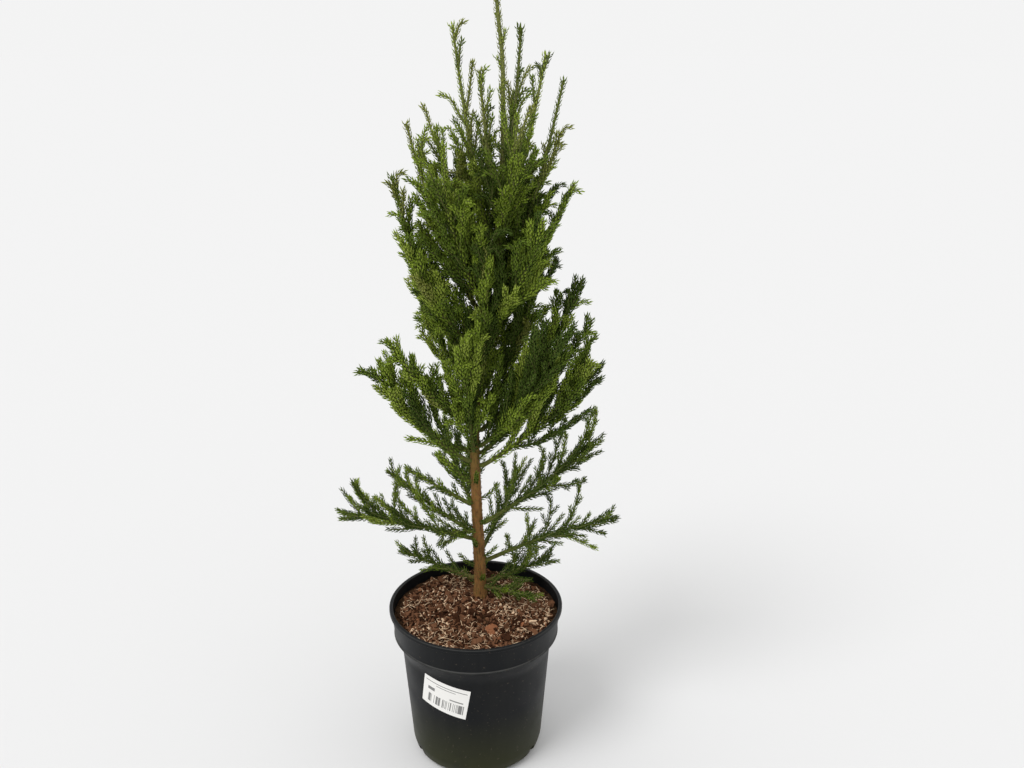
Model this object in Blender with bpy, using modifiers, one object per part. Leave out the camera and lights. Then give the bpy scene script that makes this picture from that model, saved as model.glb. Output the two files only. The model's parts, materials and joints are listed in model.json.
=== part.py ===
"""A young Japanese cedar in a black nursery pot.

Metres, +Z up. The origin is the centre of the pot's flat underside. +X is the side where the
crown's long low right bough reaches out, and -Y is the front.
"""

import math
import random
from collections import namedtuple

import bpy
import bmesh
from mathutils import Matrix, Vector
from mathutils.kdtree import KDTree

MM = 0.001
CM = 0.01
UP = Vector((0, 0, 1))
CLEARANCE = 0.3 * MM

# Pot: an injection-moulded container with a rolled lip and a stepped collar
POT_HEIGHT = 176 * MM
LIP_RADIUS = 95 * MM
LIP_DEPTH = 4 * MM
LIP_CHAMFER = 1 * MM
COLLAR_TOP_RADIUS = 92.6 * MM
COLLAR_FOOT_RADIUS = 89.6 * MM
COLLAR_FOOT_HEIGHT = 145 * MM
BODY_TOP_RADIUS = 82 * MM
BODY_TOP_HEIGHT = 129 * MM
BODY_FOOT_RADIUS = 73 * MM
CORNER_RADIUS = 70.4 * MM
CORNER_HEIGHT = 14 * MM
FOOT_RADIUS = 64 * MM
WALL = 1.6 * MM
POT_SIDES = 32
DRAIN_HOLES = 6
DRAIN_SIDES = 8
DRAIN_RADIUS = 6 * MM
DRAIN_LENGTH = 30 * MM
DRAIN_CENTRE = 65 * MM
DRAIN_LEVEL = 2 * MM
DRAIN_TILT = 58

# Stock label: a plain white paper sticker on the pot's wall, a little askew
STICKER_WIDTH = 54 * MM
STICKER_HEIGHT = 38 * MM
STICKER_THICKNESS = 0.5 * MM
STICKER_AZIMUTH = -113.6
STICKER_LEVEL = 104.3 * MM
STICKER_TILT = -11.5
STICKER_COLUMNS = 12

# Growing mix: fills the pot to just under the lip and heaps a little round the trunk
SOIL_LEVEL = 164.5 * MM
HEAP_HEIGHT = 171 * MM
HEAP_FLAT = 13 * MM
SOIL_RINGS = (0, HEAP_FLAT, 30 * MM, 50 * MM, 70 * MM)
SOIL_RIPPLE = 1.1 * MM

# Trunk
TRUNK_FOOT = Vector((4.3 * MM, 20 * MM, HEAP_HEIGHT + CLEARANCE))
TREE_HEIGHT = 640 * MM
TRUNK_HEIGHT = 515 * MM
TRUNK_RADIUS = 6.9 * MM
TRUNK_TIP_RADIUS = 0.9 * MM
TRUNK_TAPER = 1.2
TRUNK_RINGS = 16
TRUNK_PIECES = 40
ROOT_FLARE = 1.9 * MM
FLARE_HEIGHT = 6 * MM
LOW_LEAN = 4 * MM
TOP_SHIFT = 31 * MM
TIP_NOD = 6 * MM

# Foliage: every green shoot is a slim stem with whorls of awl-shaped needles
STEM_RADIUS = 2.9 * MM
SHOOT_RADIUS = 2.9 * MM
NEEDLE_REACH = 5.8 * MM
STEM_WHORL_PITCH = 25 * MM
SHOOT_WHORL_PITCH = 21 * MM
LONGEST_SHOOT_WHORLS = 3
TIP_SHARE = 0.66
NEEDLE_RISE = 0.26
TIP_PITCHES = 0.42
SHOOT_OFFSET = 0.42
LAST_SHOOT = 0.93
SHORTEST_SHOOT = 18 * MM
FORKED_SHOOT = 66 * MM
SHORTER_TRIES = (1, 0.8, 0.6, 0.4)
SHOOT_TILT = (28, 42)
SHOOT_LIFT = (0.12, 0.38)
LAST_SHOOT_SHARE = 0.3
TWIG_SHARE = 0.5
MOST_TWIGS = 2
GOLDEN_ANGLE = 137.5
DENSE_SPREAD = 4.5 * CM
DENSE_FULLNESS = 0.75

LEADER_SPREAD = 18 * MM
LEADER_SEED = 7
FIRST_SEED = 40

# Limbs, and the bare share of a stem that starts at the trunk or at a limb's end
BOUGH_RADIUS = 2.9 * MM
ROOT_GAP = 0.5 * MM
COLLAR_LENGTH = 2.5 * MM
KNEE_SHARE = 0.55
BOUGH_PIECES = 12
STEM_BARE = 0.14
LIMB_STEM_BARE = 0.03
PART_PIECES = 8
SHOOT_PIECES = 5

# Clearances while the crown is laid out, and the turns tried for a bough that has no room
SPOT_STEP = 3 * MM
NEIGHBOUR_GAP = 0.6 * MM
POT_GAP = 1.5 * MM
HEAP_SPREAD = 50 * MM
SWERVES = (0, 7, -7, 14, -14, 21, -21, 28, -28)

# One main bough of the crown. Heights are above the growing mix. Azimuth 0 is +X and 90 is +Y.
# Sweep is the share of the rise gained in the first half, wood the share that is bare limb, and
# spread the length of its longest side shoot.
Bough = namedtuple("Bough", "name height azimuth reach rise sweep wood spread")

# One mass of foliage: its stem, the share of it that has no needles, how far its middle bulges, the
# side shoots that may grow on it, and the ones kept so far
Mass = namedtuple("Mass", "name stem bare fullness shoots kept")

# A side shoot's line, and the shoot it grows on, or None where that is the stem
Shoot = namedtuple("Shoot", "path parent")

# The boughs that stand out of the crown's outline, from the foot upwards
MAIN_BOUGHS = [
    Bough("low_left", 2.4 * CM, 176, 8.2 * CM, 3.2 * CM, 0.45, 0.22, 4.0 * CM),
    Bough("low_right", 1.9 * CM, 14, 7.6 * CM, 2.3 * CM, 0.3, 0.2, 4.4 * CM),
    Bough("low_front", 1.5 * CM, -24, 6.2 * CM, 0.4 * CM, 0.9, 0.0, 2.6 * CM),
    Bough("long_right", 4.6 * CM, 4, 14.6 * CM, 4.7 * CM, 0.75, 0.34, 6.4 * CM),
    Bough("long_left", 7.3 * CM, 181, 14.4 * CM, 3.2 * CM, 0.72, 0.3, 7.0 * CM),
    Bough("short_front", 8.4 * CM, 222, 4.8 * CM, 1.2 * CM, 0.6, 0.0, 2.6 * CM),
    Bough("fan_right", 9.2 * CM, 2, 11.8 * CM, 9.4 * CM, 0.42, 0.2, 9.0 * CM),
    Bough("upper_left", 11.4 * CM, 168, 7.4 * CM, 3.6 * CM, 0.5, 0.2, 5.0 * CM),
    Bough("short_left", 14.2 * CM, 190, 3.4 * CM, 3.4 * CM, 0.5, 0.0, 2.4 * CM),
    Bough("whip_left", 17.6 * CM, 178, 6.8 * CM, 1.0 * CM, 0.7, 0.0, 1.6 * CM),
    Bough("sweep_left", 16.6 * CM, 184, 9.8 * CM, 11.0 * CM, 0.33, 0.2, 8.0 * CM),
    Bough("sweep_right", 16.0 * CM, 354, 11.6 * CM, 11.0 * CM, 0.36, 0.2, 8.6 * CM),
    Bough("climb_right", 17.4 * CM, 14, 12.2 * CM, 13.8 * CM, 0.34, 0.0, 6.6 * CM),
    Bough("arch_right", 18.4 * CM, 326, 9.6 * CM, 12.4 * CM, 0.34, 0.0, 7.0 * CM),
    Bough("front_low", 18.0 * CM, 262, 4.4 * CM, 12.4 * CM, 0.3, 0.0, 5.0 * CM),
    Bough("front_high", 25.4 * CM, 286, 4.0 * CM, 15.0 * CM, 0.3, 0.0, 5.0 * CM),
    Bough("tall_right", 20.0 * CM, 8, 10.8 * CM, 15.6 * CM, 0.3, 0.0, 8.0 * CM),
    Bough("spire_right", 22.5 * CM, 20, 7.4 * CM, 16.4 * CM, 0.28, 0.0, 7.0 * CM),
    Bough("flank_left", 27.0 * CM, 182, 7.8 * CM, 19.6 * CM, 0.3, 0.0, 8.0 * CM),
    Bough("crest_right", 31.6 * CM, 350, 8.6 * CM, 14.4 * CM, 0.4, 0.0, 5.4 * CM),
    Bough("plume_right", 33.5 * CM, 6, 7.2 * CM, 22.0 * CM, 0.3, 0.0, 6.0 * CM),
    Bough("plume_left", 33.0 * CM, 186, 7.0 * CM, 21.2 * CM, 0.3, 0.0, 6.4 * CM),
    Bough("spire_left", 40.0 * CM, 176, 3.6 * CM, 20.4 * CM, 0.36, 0.0, 4.6 * CM),
    Bough("inner_left", 43.0 * CM, 236, 2.8 * CM, 13.4 * CM, 0.36, 0.0, 3.4 * CM),
    Bough("inner_right", 41.0 * CM, 352, 4.4 * CM, 16.8 * CM, 0.36, 0.0, 4.4 * CM),
    Bough("top_right", 44.0 * CM, 40, 2.4 * CM, 16.2 * CM, 0.28, 0.0, 2.6 * CM),
]

# The rest of the crown is filled by a spiral of rising boughs
SPIRAL_BOUGHS = 15
SPIRAL_START = 19.5 * CM
SPIRAL_STEP = 1.62 * CM
SPIRAL_FIRST_AZIMUTH = 84
SPIRAL_REACH = 10.4 * CM
SPIRAL_TOP_REACH = 4.6 * CM
SPIRAL_RISE = 10.5 * CM
SPIRAL_TOP_RISE = 14.0 * CM
SPIRAL_SPREAD = 8.0 * CM
SPIRAL_TOP_SPREAD = 5.6 * CM
SPIRAL_SWEEP = 0.3

# Low boughs on the far side, so that the crown is whole from all round
BACK_AZIMUTHS = (66, 158, 112)
BACK_START = 5.6 * CM
BACK_STEP = 2.4 * CM
BACK_REACH = 10.4 * CM
BACK_RISE = 5.6 * CM
BACK_SPREAD = 5.0 * CM


def clear_scene():
    for old in list(bpy.data.objects):
        bpy.data.objects.remove(old)


def new_collection(name):
    made = bpy.data.collections.new(name)
    bpy.context.scene.collection.children.link(made)
    return made


def material(name, colour, roughness):
    made = bpy.data.materials.new(name)
    made.use_nodes = True
    shader = made.node_tree.nodes["Principled BSDF"]
    shader.inputs["Base Color"].default_value = (*colour, 1)
    shader.inputs["Roughness"].default_value = roughness
    shader.inputs["Metallic"].default_value = 0
    return made


clear_scene()
PARTS = new_collection("potted_japanese_cedar")
HELPERS = new_collection("helpers")
HELPERS.hide_render = True
BLACK_PLASTIC = material("black_plastic", (0.018, 0.019, 0.021), 0.45)
BARK_MULCH = material("bark_mulch", (0.13, 0.07, 0.04), 0.95)
PAPER = material("paper", (0.85, 0.84, 0.8), 0.6)
BARK = material("bark", (0.28, 0.13, 0.05), 0.85)
GREEN_STEM = material("green_stem", (0.12, 0.16, 0.04), 0.7)
NEEDLES = material("needles", (0.07, 0.15, 0.03), 0.6)


def add_object(name, data, finish, collection=PARTS):
    made = bpy.data.objects.new(name, data)
    made.data.materials.append(finish)
    collection.objects.link(made)
    return made


def evaluated_mesh(source):
    """The object's mesh with its modifiers applied, as a new data block."""
    bpy.context.view_layer.update()
    graph = bpy.context.evaluated_depsgraph_get()
    return bpy.data.meshes.new_from_object(source.evaluated_get(graph))


def turned(name, profile, finish, sides):
    """A solid of revolution about Z. The profile is (radius, height) points with both ends on the axis."""
    mesh = bpy.data.meshes.new(name)
    points = [(radius, 0, height) for radius, height in profile]
    mesh.from_pydata(points, [(i, i + 1) for i in range(len(points) - 1)], [])
    made = add_object(name, mesh, finish)
    screw = made.modifiers.new("turn", "SCREW")
    screw.steps = sides
    screw.render_steps = sides
    screw.use_merge_vertices = True
    screw.merge_threshold = 0.01 * MM
    return made


def mix(a, b, share):
    return a + (b - a) * share


def smooth(start, end, value):
    share = min(1, max(0, (value - start) / (end - start)))
    return share * share * (3 - 2 * share)


def heading(azimuth):
    turn = math.radians(azimuth)
    return Vector((math.cos(turn), math.sin(turn), 0))


# Pot
def pot_outside():
    """(radius, height) points down the outside, from the lip to the centre of the underside."""
    return [
        (LIP_RADIUS - LIP_CHAMFER, POT_HEIGHT),
        (LIP_RADIUS, POT_HEIGHT - LIP_CHAMFER),
        (LIP_RADIUS, POT_HEIGHT - LIP_DEPTH),
        (COLLAR_TOP_RADIUS, POT_HEIGHT - LIP_DEPTH),
        (COLLAR_FOOT_RADIUS, COLLAR_FOOT_HEIGHT),
        (BODY_TOP_RADIUS, BODY_TOP_HEIGHT),
        (BODY_FOOT_RADIUS, CORNER_HEIGHT),
        (CORNER_RADIUS, CORNER_HEIGHT * 0.35),
        (FOOT_RADIUS, 0),
        (0, 0),
    ]


def pot_inside(gap):
    """(radius, height) points up the inside, from the floor's centre to the lip, set in by gap."""
    inset = WALL + gap
    return [
        (0, inset),
        (FOOT_RADIUS - gap, inset),
        (BODY_FOOT_RADIUS - inset, CORNER_HEIGHT + gap),
        (BODY_TOP_RADIUS - inset, BODY_TOP_HEIGHT + gap),
        (COLLAR_FOOT_RADIUS - inset, COLLAR_FOOT_HEIGHT + gap),
        (COLLAR_TOP_RADIUS - inset, POT_HEIGHT - LIP_DEPTH),
        (COLLAR_TOP_RADIUS - inset, POT_HEIGHT),
    ]


def build_pot():
    pot = turned("pot", pot_inside(0) + pot_outside(), BLACK_PLASTIC, POT_SIDES)
    drains = bpy.data.collections.new("drains")
    HELPERS.children.link(drains)
    for i in range(DRAIN_HOLES):
        turn = math.tau * (i + 0.5) / DRAIN_HOLES
        mesh = bpy.data.meshes.new("drain")
        shape = bmesh.new()
        round_rod = {"radius1": DRAIN_RADIUS, "radius2": DRAIN_RADIUS, "depth": DRAIN_LENGTH}
        bmesh.ops.create_cone(shape, cap_ends=True, segments=DRAIN_SIDES, **round_rod)
        shape.to_mesh(mesh)
        shape.free()
        drain = bpy.data.objects.new("drain", mesh)
        drain.location = heading(math.degrees(turn)) * DRAIN_CENTRE + UP * DRAIN_LEVEL
        drain.rotation_euler = (0, math.radians(DRAIN_TILT), turn)
        drain.hide_render = True
        drain.display_type = "WIRE"
        drains.objects.link(drain)
    cut = pot.modifiers.new("drains", "BOOLEAN")
    cut.operation = "DIFFERENCE"
    cut.operand_type = "COLLECTION"
    cut.collection = drains
    cut.solver = "EXACT"


# Stock label
def wall_radius(height):
    """The radius of the pot's body, which tapers evenly from its top to its foot."""
    share = (height - CORNER_HEIGHT) / (BODY_TOP_HEIGHT - CORNER_HEIGHT)
    return mix(BODY_FOOT_RADIUS, BODY_TOP_RADIUS, share)


def build_sticker():
    tilt = math.radians(STICKER_TILT)
    shape = bmesh.new()
    grid = []
    for row in (-1, 1):
        points = []
        for column in range(STICKER_COLUMNS + 1):
            flat = Vector((STICKER_WIDTH * (column / STICKER_COLUMNS - 0.5), STICKER_HEIGHT * row / 2))
            across = flat.x * math.cos(tilt) - flat.y * math.sin(tilt)
            height = STICKER_LEVEL + flat.x * math.sin(tilt) + flat.y * math.cos(tilt)
            radius = wall_radius(height) + CLEARANCE
            turn = math.radians(STICKER_AZIMUTH) + across / radius
            points.append(shape.verts.new((radius * math.cos(turn), radius * math.sin(turn), height)))
        grid.append(points)
    low, high = grid
    for i in range(STICKER_COLUMNS):
        shape.faces.new((low[i], low[i + 1], high[i + 1], high[i]))
    mesh = bpy.data.meshes.new("sticker")
    shape.to_mesh(mesh)
    shape.free()
    sticker = add_object("sticker", mesh, PAPER)
    paper = sticker.modifiers.new("paper", "SOLIDIFY")
    paper.thickness = STICKER_THICKNESS
    paper.offset = 1


# Growing mix
def soil_height(x, y, share):
    """Height of the surface, where share is 0 at the trunk and 1 at the pot's wall."""
    ripple = SOIL_RIPPLE * math.sin(95 * x + 1.3) * math.cos(80 * y - 0.6)
    edge = smooth(0.1, 0.3, share) * (1 - smooth(0.85, 1, share))
    return mix(HEAP_HEIGHT, SOIL_LEVEL, smooth(0.1, 0.75, share)) + ripple * edge


def build_soil():
    wall_below_top = pot_inside(CLEARANCE)[4::-1]
    share = (SOIL_LEVEL - COLLAR_FOOT_HEIGHT) / (POT_HEIGHT - LIP_DEPTH - COLLAR_FOOT_HEIGHT)
    rim_radius = mix(COLLAR_FOOT_RADIUS, COLLAR_TOP_RADIUS, share) - WALL - CLEARANCE
    top = [(radius, SOIL_LEVEL) for radius in (*SOIL_RINGS, rim_radius)]
    soil = turned("growing_mix", top + wall_below_top, BARK_MULCH, POT_SIDES)
    mesh = evaluated_mesh(soil)
    soil.modifiers.clear()
    soil.data = mesh
    for vertex in mesh.vertices:
        if vertex.co.z > SOIL_LEVEL - 0.01 * MM:
            radius = math.hypot(vertex.co.x, vertex.co.y)
            share = radius / rim_radius
            vertex.co.x += TRUNK_FOOT.x * (1 - share)
            vertex.co.y += TRUNK_FOOT.y * (1 - share)
            flat = radius < HEAP_FLAT + 0.1 * MM
            vertex.co.z = HEAP_HEIGHT if flat else soil_height(vertex.co.x, vertex.co.y, share)


# Trunk
def trunk_point(height):
    """The trunk's centre at a height above its foot: it leans left, swings right, then nods back."""
    x = -LOW_LEAN * smooth(0.01, 0.17, height)
    x += TOP_SHIFT * smooth(0.2, 0.5, height)
    x -= TIP_NOD * smooth(0.56, TREE_HEIGHT, height)
    return TRUNK_FOOT + Vector((x, 0, height))


def trunk_radius(height):
    taper = (1 - height / TREE_HEIGHT) ** TRUNK_TAPER
    flare = ROOT_FLARE * math.exp(-height / FLARE_HEIGHT)
    return mix(TRUNK_TIP_RADIUS, TRUNK_RADIUS, taper) + flare


def limb(name, points, radii, finish, roundness):
    """A tapering tube through the points, with flat ends."""
    curve = bpy.data.curves.new(name, "CURVE")
    curve.dimensions = "3D"
    curve.bevel_depth = 1
    curve.bevel_resolution = roundness
    curve.use_fill_caps = True
    spline = curve.splines.new("POLY")
    spline.points.add(len(points) - 1)
    for spot, point, radius in zip(spline.points, points, radii):
        spot.co = (*point, 1)
        spot.radius = radius
    return add_object(name, curve, finish)


def build_trunk():
    heights = [0, 4 * MM, 12 * MM]
    heights += [mix(30 * MM, TRUNK_HEIGHT, i / (TRUNK_RINGS - 1)) for i in range(TRUNK_RINGS)]
    points = [trunk_point(height) for height in heights]
    limb("trunk", points, [trunk_radius(height) for height in heights], BARK, 3)


# Boughs and shoots, as paths
class Path:
    """A line through points, measured by the share of its length."""

    def __init__(self, points):
        self.points = points
        self.length = sum((b - a).length for a, b in zip(points, points[1:]))

    def at(self, share):
        """(point, direction) at a share of the length."""
        left = share * self.length
        for a, b in zip(self.points, self.points[1:]):
            step = (b - a).length
            if left <= step or b is self.points[-1]:
                return a + (b - a) * (left / step), (b - a).normalized()
            left -= step

    def part(self, start, end):
        return Path([self.at(mix(start, end, i / PART_PIECES))[0] for i in range(PART_PIECES + 1)])


def bark_distance(height, out):
    """How far the bark reaches along out, over the thickness of a bough that leaves at the height."""
    centre = trunk_point(height)
    levels = (height - BOUGH_RADIUS, height, height + BOUGH_RADIUS)
    return max((trunk_point(level) - centre).dot(out) + trunk_radius(level) for level in levels)


def bough_path(bough):
    """The bough's line: out of the trunk square to its bark, then a curve up to the tip."""
    out = heading(bough.azimuth)
    root = trunk_point(bough.height) + out * (bark_distance(bough.height, out) + ROOT_GAP)
    knee = root + out * (bough.reach * KNEE_SHARE) + UP * (bough.rise * bough.sweep)
    tip = root + out * bough.reach + UP * bough.rise
    collar = root + out * COLLAR_LENGTH
    points = [root]
    for i in range(BOUGH_PIECES + 1):
        share = i / BOUGH_PIECES
        points.append(collar.lerp(knee, share).lerp(knee.lerp(tip, share), share))
    return Path(points)


def shoot_path(path, share, tilt, roll, length, lift):
    """A side shoot's line: it leaves path at share, tilted off its direction, and bends upwards."""
    start, direction = path.at(share)
    side = direction.cross(UP).normalized()
    above = side.cross(direction)
    away = above * math.cos(roll) + side * math.sin(roll)
    leaving = direction * math.cos(tilt) + away * math.sin(tilt)
    points = []
    for i in range(SHOOT_PIECES + 1):
        gone = i / SHOOT_PIECES
        points.append(start + leaving * (length * gone) + UP * (lift * length * gone * gone))
    return Path(points)


def whorl_pitch(whorls, bare):
    """The share of a path from one whorl to the next. Past the last whorl, TIP_PITCHES lead to the tip."""
    return (1 - bare) / (whorls + TIP_PITCHES)


def side_shoots(path, bare, whorls, longest, chance):
    """Side shoots that leave a path past its whorls, turned by the golden angle, shorter to the tip."""
    pitch = whorl_pitch(whorls, bare)
    found = []
    for i in range(whorls):
        share = bare + pitch * (i + SHOOT_OFFSET)
        if share > LAST_SHOOT:
            break
        tilt = math.radians(chance.uniform(*SHOOT_TILT))
        roll = math.radians(GOLDEN_ANGLE * i + chance.uniform(-20, 20))
        length = longest * mix(1, LAST_SHOOT_SHARE, share**0.8) * chance.uniform(0.78, 1.08)
        lift = chance.uniform(*SHOOT_LIFT)
        shoot = shoot_path(path, share, tilt, roll, length, lift)
        if shoot.points[-1].z < shoot.points[0].z:
            shoot = shoot_path(path, share, tilt, math.pi - roll, length, lift)
        found.append(shoot)
    return found


def spiral_boughs():
    """Rising boughs that turn by the golden angle, shorter and steeper towards the top."""
    found = []
    for i in range(SPIRAL_BOUGHS):
        share = i / (SPIRAL_BOUGHS - 1)
        height = SPIRAL_START + SPIRAL_STEP * i
        azimuth = (SPIRAL_FIRST_AZIMUTH + GOLDEN_ANGLE * i) % 360
        reach = mix(SPIRAL_REACH, SPIRAL_TOP_REACH, share)
        rise = mix(SPIRAL_RISE, SPIRAL_TOP_RISE, share)
        spread = mix(SPIRAL_SPREAD, SPIRAL_TOP_SPREAD, share)
        found.append(Bough(f"spiral_{i + 1:02d}", height, azimuth, reach, rise, SPIRAL_SWEEP, 0, spread))
    return found


def back_boughs():
    """Low boughs that fan over the far side, each with a length of bare limb."""
    found = []
    for i, azimuth in enumerate(BACK_AZIMUTHS):
        height = BACK_START + BACK_STEP * i
        found.append(Bough(f"back_{i + 1}", height, azimuth, BACK_REACH, BACK_RISE, 0.4, 0.22, BACK_SPREAD))
    return found


# Room for each piece
class Room:
    """Keeps the masses apart: spots along every limb and shoot, each with its radius and its owner."""

    def __init__(self):
        self.spots = []
        self.tree = KDTree(0)
        self.widest = 0

    def take(self, owner, path, radius_at):
        steps = math.ceil(path.length / SPOT_STEP)
        for i in range(steps + 1):
            radius = radius_at(i / steps)
            self.widest = max(self.widest, radius)
            self.spots.append((path.at(i / steps)[0], radius, owner))
        self.tree = KDTree(len(self.spots))
        for i, (point, _, _) in enumerate(self.spots):
            self.tree.insert(point, i)
        self.tree.balance()

    def holds(self, path, radius_at, friends):
        """Whether the path keeps clear of the pot, the mix and every owner but its friends."""
        steps = math.ceil(path.length / SPOT_STEP)
        for i in range(steps + 1):
            point = path.at(i / steps)[0]
            radius = radius_at(i / steps)
            if not clear_of_pot(point, radius):
                return False
            for _, index, distance in self.tree.find_range(point, radius + self.widest + NEIGHBOUR_GAP):
                _, other_radius, owner = self.spots[index]
                if owner not in friends and distance < radius + other_radius + NEIGHBOUR_GAP:
                    return False
        return True


def clear_of_pot(point, radius):
    """Whether a shoot of that radius at the point stays off the mix and the pot."""
    out = math.hypot(point.x, point.y)
    if out > LIP_RADIUS + radius + POT_GAP:
        return True
    floor = POT_HEIGHT if out > COLLAR_TOP_RADIUS - WALL - radius - POT_GAP else SOIL_LEVEL
    if (point - TRUNK_FOOT).length < HEAP_SPREAD:
        floor = HEAP_HEIGHT
    return point.z > floor + radius + POT_GAP


# Needle-clad shoots
def frames_along(path, shares):
    """(point, across, over) at each share, turned as little as possible from one to the next."""
    found = []
    across = None
    for share in shares:
        point, direction = path.at(share)
        if across is None:
            across = direction.orthogonal()
        across = (across - direction * across.dot(direction)).normalized()
        found.append((point, across, direction.cross(across)))
    return found


def needle_shoot(name, path, size, whorls, bare, collection):
    """One closed, three-sided shoot. Each whorl flares to three needle points that overhang the stem."""
    radius, needle, fullness = size
    pitch = whorl_pitch(whorls, bare)
    rings = [(0, radius, 0)]
    if bare:
        rings.append((bare, radius, 0))
    for i in range(whorls):
        turn = math.pi / 3 * ((i + 1) % 2)
        bulge = 1 + fullness * math.sin(math.pi * (i + 0.5) / whorls)
        full = bulge * mix(1, TIP_SHARE, (i + 1) / whorls)
        rings.append((bare + pitch * (i + 1 + NEEDLE_RISE), needle * full, turn))
        rings.append((bare + pitch * (i + 1), radius * full, turn))
    places = frames_along(path, [share for share, _, _ in rings])
    shape = bmesh.new()
    loops = []
    for (_, reach, turn), (point, across, over) in zip(rings, places):
        loop = []
        for k in range(3):
            angle = turn + math.tau * k / 3
            loop.append(shape.verts.new(point + (across * math.cos(angle) + over * math.sin(angle)) * reach))
        loops.append(loop)
    for (_, _, turn_a), (_, _, turn_b), low, high in zip(rings, rings[1:], loops, loops[1:]):
        for k in range(3):
            after = (k + 1) % 3
            if turn_b > turn_a:
                shape.faces.new((low[k], low[after], high[k]))
                shape.faces.new((low[after], high[after], high[k]))
            elif turn_b < turn_a:
                shape.faces.new((low[k], high[after], high[k]))
                shape.faces.new((low[k], low[after], high[after]))
            else:
                shape.faces.new((low[k], low[after], high[after]))
                shape.faces.new((low[k], high[after], high[k]))
    tip = shape.verts.new(path.points[-1])
    for k in range(3):
        shape.faces.new((loops[-1][k], loops[-1][(k + 1) % 3], tip))
    shape.faces.new(loops[0][::-1])
    bmesh.ops.recalc_face_normals(shape, faces=shape.faces)
    mesh = bpy.data.meshes.new(name)
    shape.to_mesh(mesh)
    shape.free()
    return add_object(name, mesh, NEEDLES, collection)


def keep_outer_shell(mesh):
    """Fills sealed hollows and drops loose scraps: only the shell with the most vertices stays."""
    shape = bmesh.new()
    shape.from_mesh(mesh)
    unseen = set(shape.verts)
    shells = []
    while unseen:
        shell = {unseen.pop()}
        border = list(shell)
        while border:
            vertex = border.pop()
            for edge in vertex.link_edges:
                other = edge.other_vert(vertex)
                if other not in shell:
                    shell.add(other)
                    border.append(other)
        unseen -= shell
        shells.append(shell)
    shells.sort(key=len)
    for shell in shells[:-1]:
        bmesh.ops.delete(shape, geom=list(shell), context="VERTS")
    shape.to_mesh(mesh)
    shape.free()


def fuse(stem, shoots):
    """Joins a mass into one solid, and removes the loose shoots."""
    if not shoots.objects:
        bpy.data.collections.remove(shoots)
        return
    join = stem.modifiers.new("fuse", "BOOLEAN")
    join.operation = "UNION"
    join.operand_type = "COLLECTION"
    join.collection = shoots
    join.solver = "EXACT"
    mesh = evaluated_mesh(stem)
    keep_outer_shell(mesh)
    stem.modifiers.clear()
    stem.data = mesh
    for shoot in list(shoots.objects):
        bpy.data.objects.remove(shoot)
    bpy.data.collections.remove(shoots)


def stem_whorls(stem):
    return max(2, round(stem.length / STEM_WHORL_PITCH))


def shoot_whorls(shoot):
    return min(LONGEST_SHOOT_WHORLS, max(1, round(shoot.length / SHOOT_WHORL_PITCH)))


def needle_radius(bare, fullness):
    """The reach of a stem's needles at a share of its length, as a function."""

    def radius_at(share):
        if share < bare:
            return STEM_RADIUS
        return NEEDLE_REACH * (1 + fullness * math.sin(math.pi * (share - bare) / (1 - bare)))

    return radius_at


def shoot_radius(share):
    return NEEDLE_REACH


def bough_radius(share):
    return mix(BOUGH_RADIUS, STEM_RADIUS, share)


def plan_leader(room):
    """The tree's own top, above the end of its woody trunk."""
    trunk = Path([trunk_point(TREE_HEIGHT * i / TRUNK_PIECES) for i in range(TRUNK_PIECES + 1)])
    room.take("trunk", trunk, lambda share: trunk_radius(share * TREE_HEIGHT) + CLEARANCE)
    stem = trunk.part((TRUNK_HEIGHT + CLEARANCE) / TREE_HEIGHT, 1)
    bare = LIMB_STEM_BARE
    room.take("leader", stem, needle_radius(bare, 0))
    twigs = side_shoots(stem, bare, stem_whorls(stem), LEADER_SPREAD, random.Random(LEADER_SEED))
    return Mass("leader", stem, bare, 0, [Shoot(twig, None) for twig in twigs], {})


def split_bough(bough):
    """(limb, stem, bare share of the stem): the limb is None where the foliage starts at the trunk."""
    path = bough_path(bough)
    if not bough.wood:
        return None, path, STEM_BARE
    return path.part(0, bough.wood), path.part(bough.wood + CLEARANCE / path.length, 1), LIMB_STEM_BARE


def place_bough(room, bough):
    """Turns the bough a little, if need be, to where it has room. None where it finds none."""
    fullness = DENSE_FULLNESS if bough.spread > DENSE_SPREAD and not bough.wood else 0
    for swerve in SWERVES:
        wood, stem, bare = split_bough(bough._replace(azimuth=bough.azimuth + swerve))
        friends = {"trunk"}
        radius_at = needle_radius(bare, fullness)
        if wood and not room.holds(wood, bough_radius, friends):
            continue
        if room.holds(stem, radius_at, friends):
            if wood:
                room.take(bough.name, wood, bough_radius)
            room.take(bough.name, stem, radius_at)
            return wood, stem, bare, fullness
    return None


def plan_crown():
    """Works out each bough's limb and stem, and the side shoots that may grow on it."""
    room = Room()
    masses = [plan_leader(room)]
    limbs = []
    for index, bough in enumerate(MAIN_BOUGHS + back_boughs() + spiral_boughs()):
        chance = random.Random(FIRST_SEED + index)
        placed = place_bough(room, bough)
        if not placed:
            continue
        wood, stem, bare, fullness = placed
        if wood:
            limbs.append((bough.name, wood))
        shoots = side_shoots(stem, bare, stem_whorls(stem), bough.spread, chance)
        first = [Shoot(shoot, None) for shoot in shoots]
        second = []
        for shoot in shoots:
            if shoot.length > FORKED_SHOOT:
                twigs = side_shoots(shoot, 0, shoot_whorls(shoot), shoot.length * TWIG_SHARE, chance)
                second += [Shoot(twig, shoot) for twig in twigs[:MOST_TWIGS]]
        masses.append(Mass(bough.name, stem, bare, fullness, first + second, {}))
    return room, limbs, masses


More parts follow.
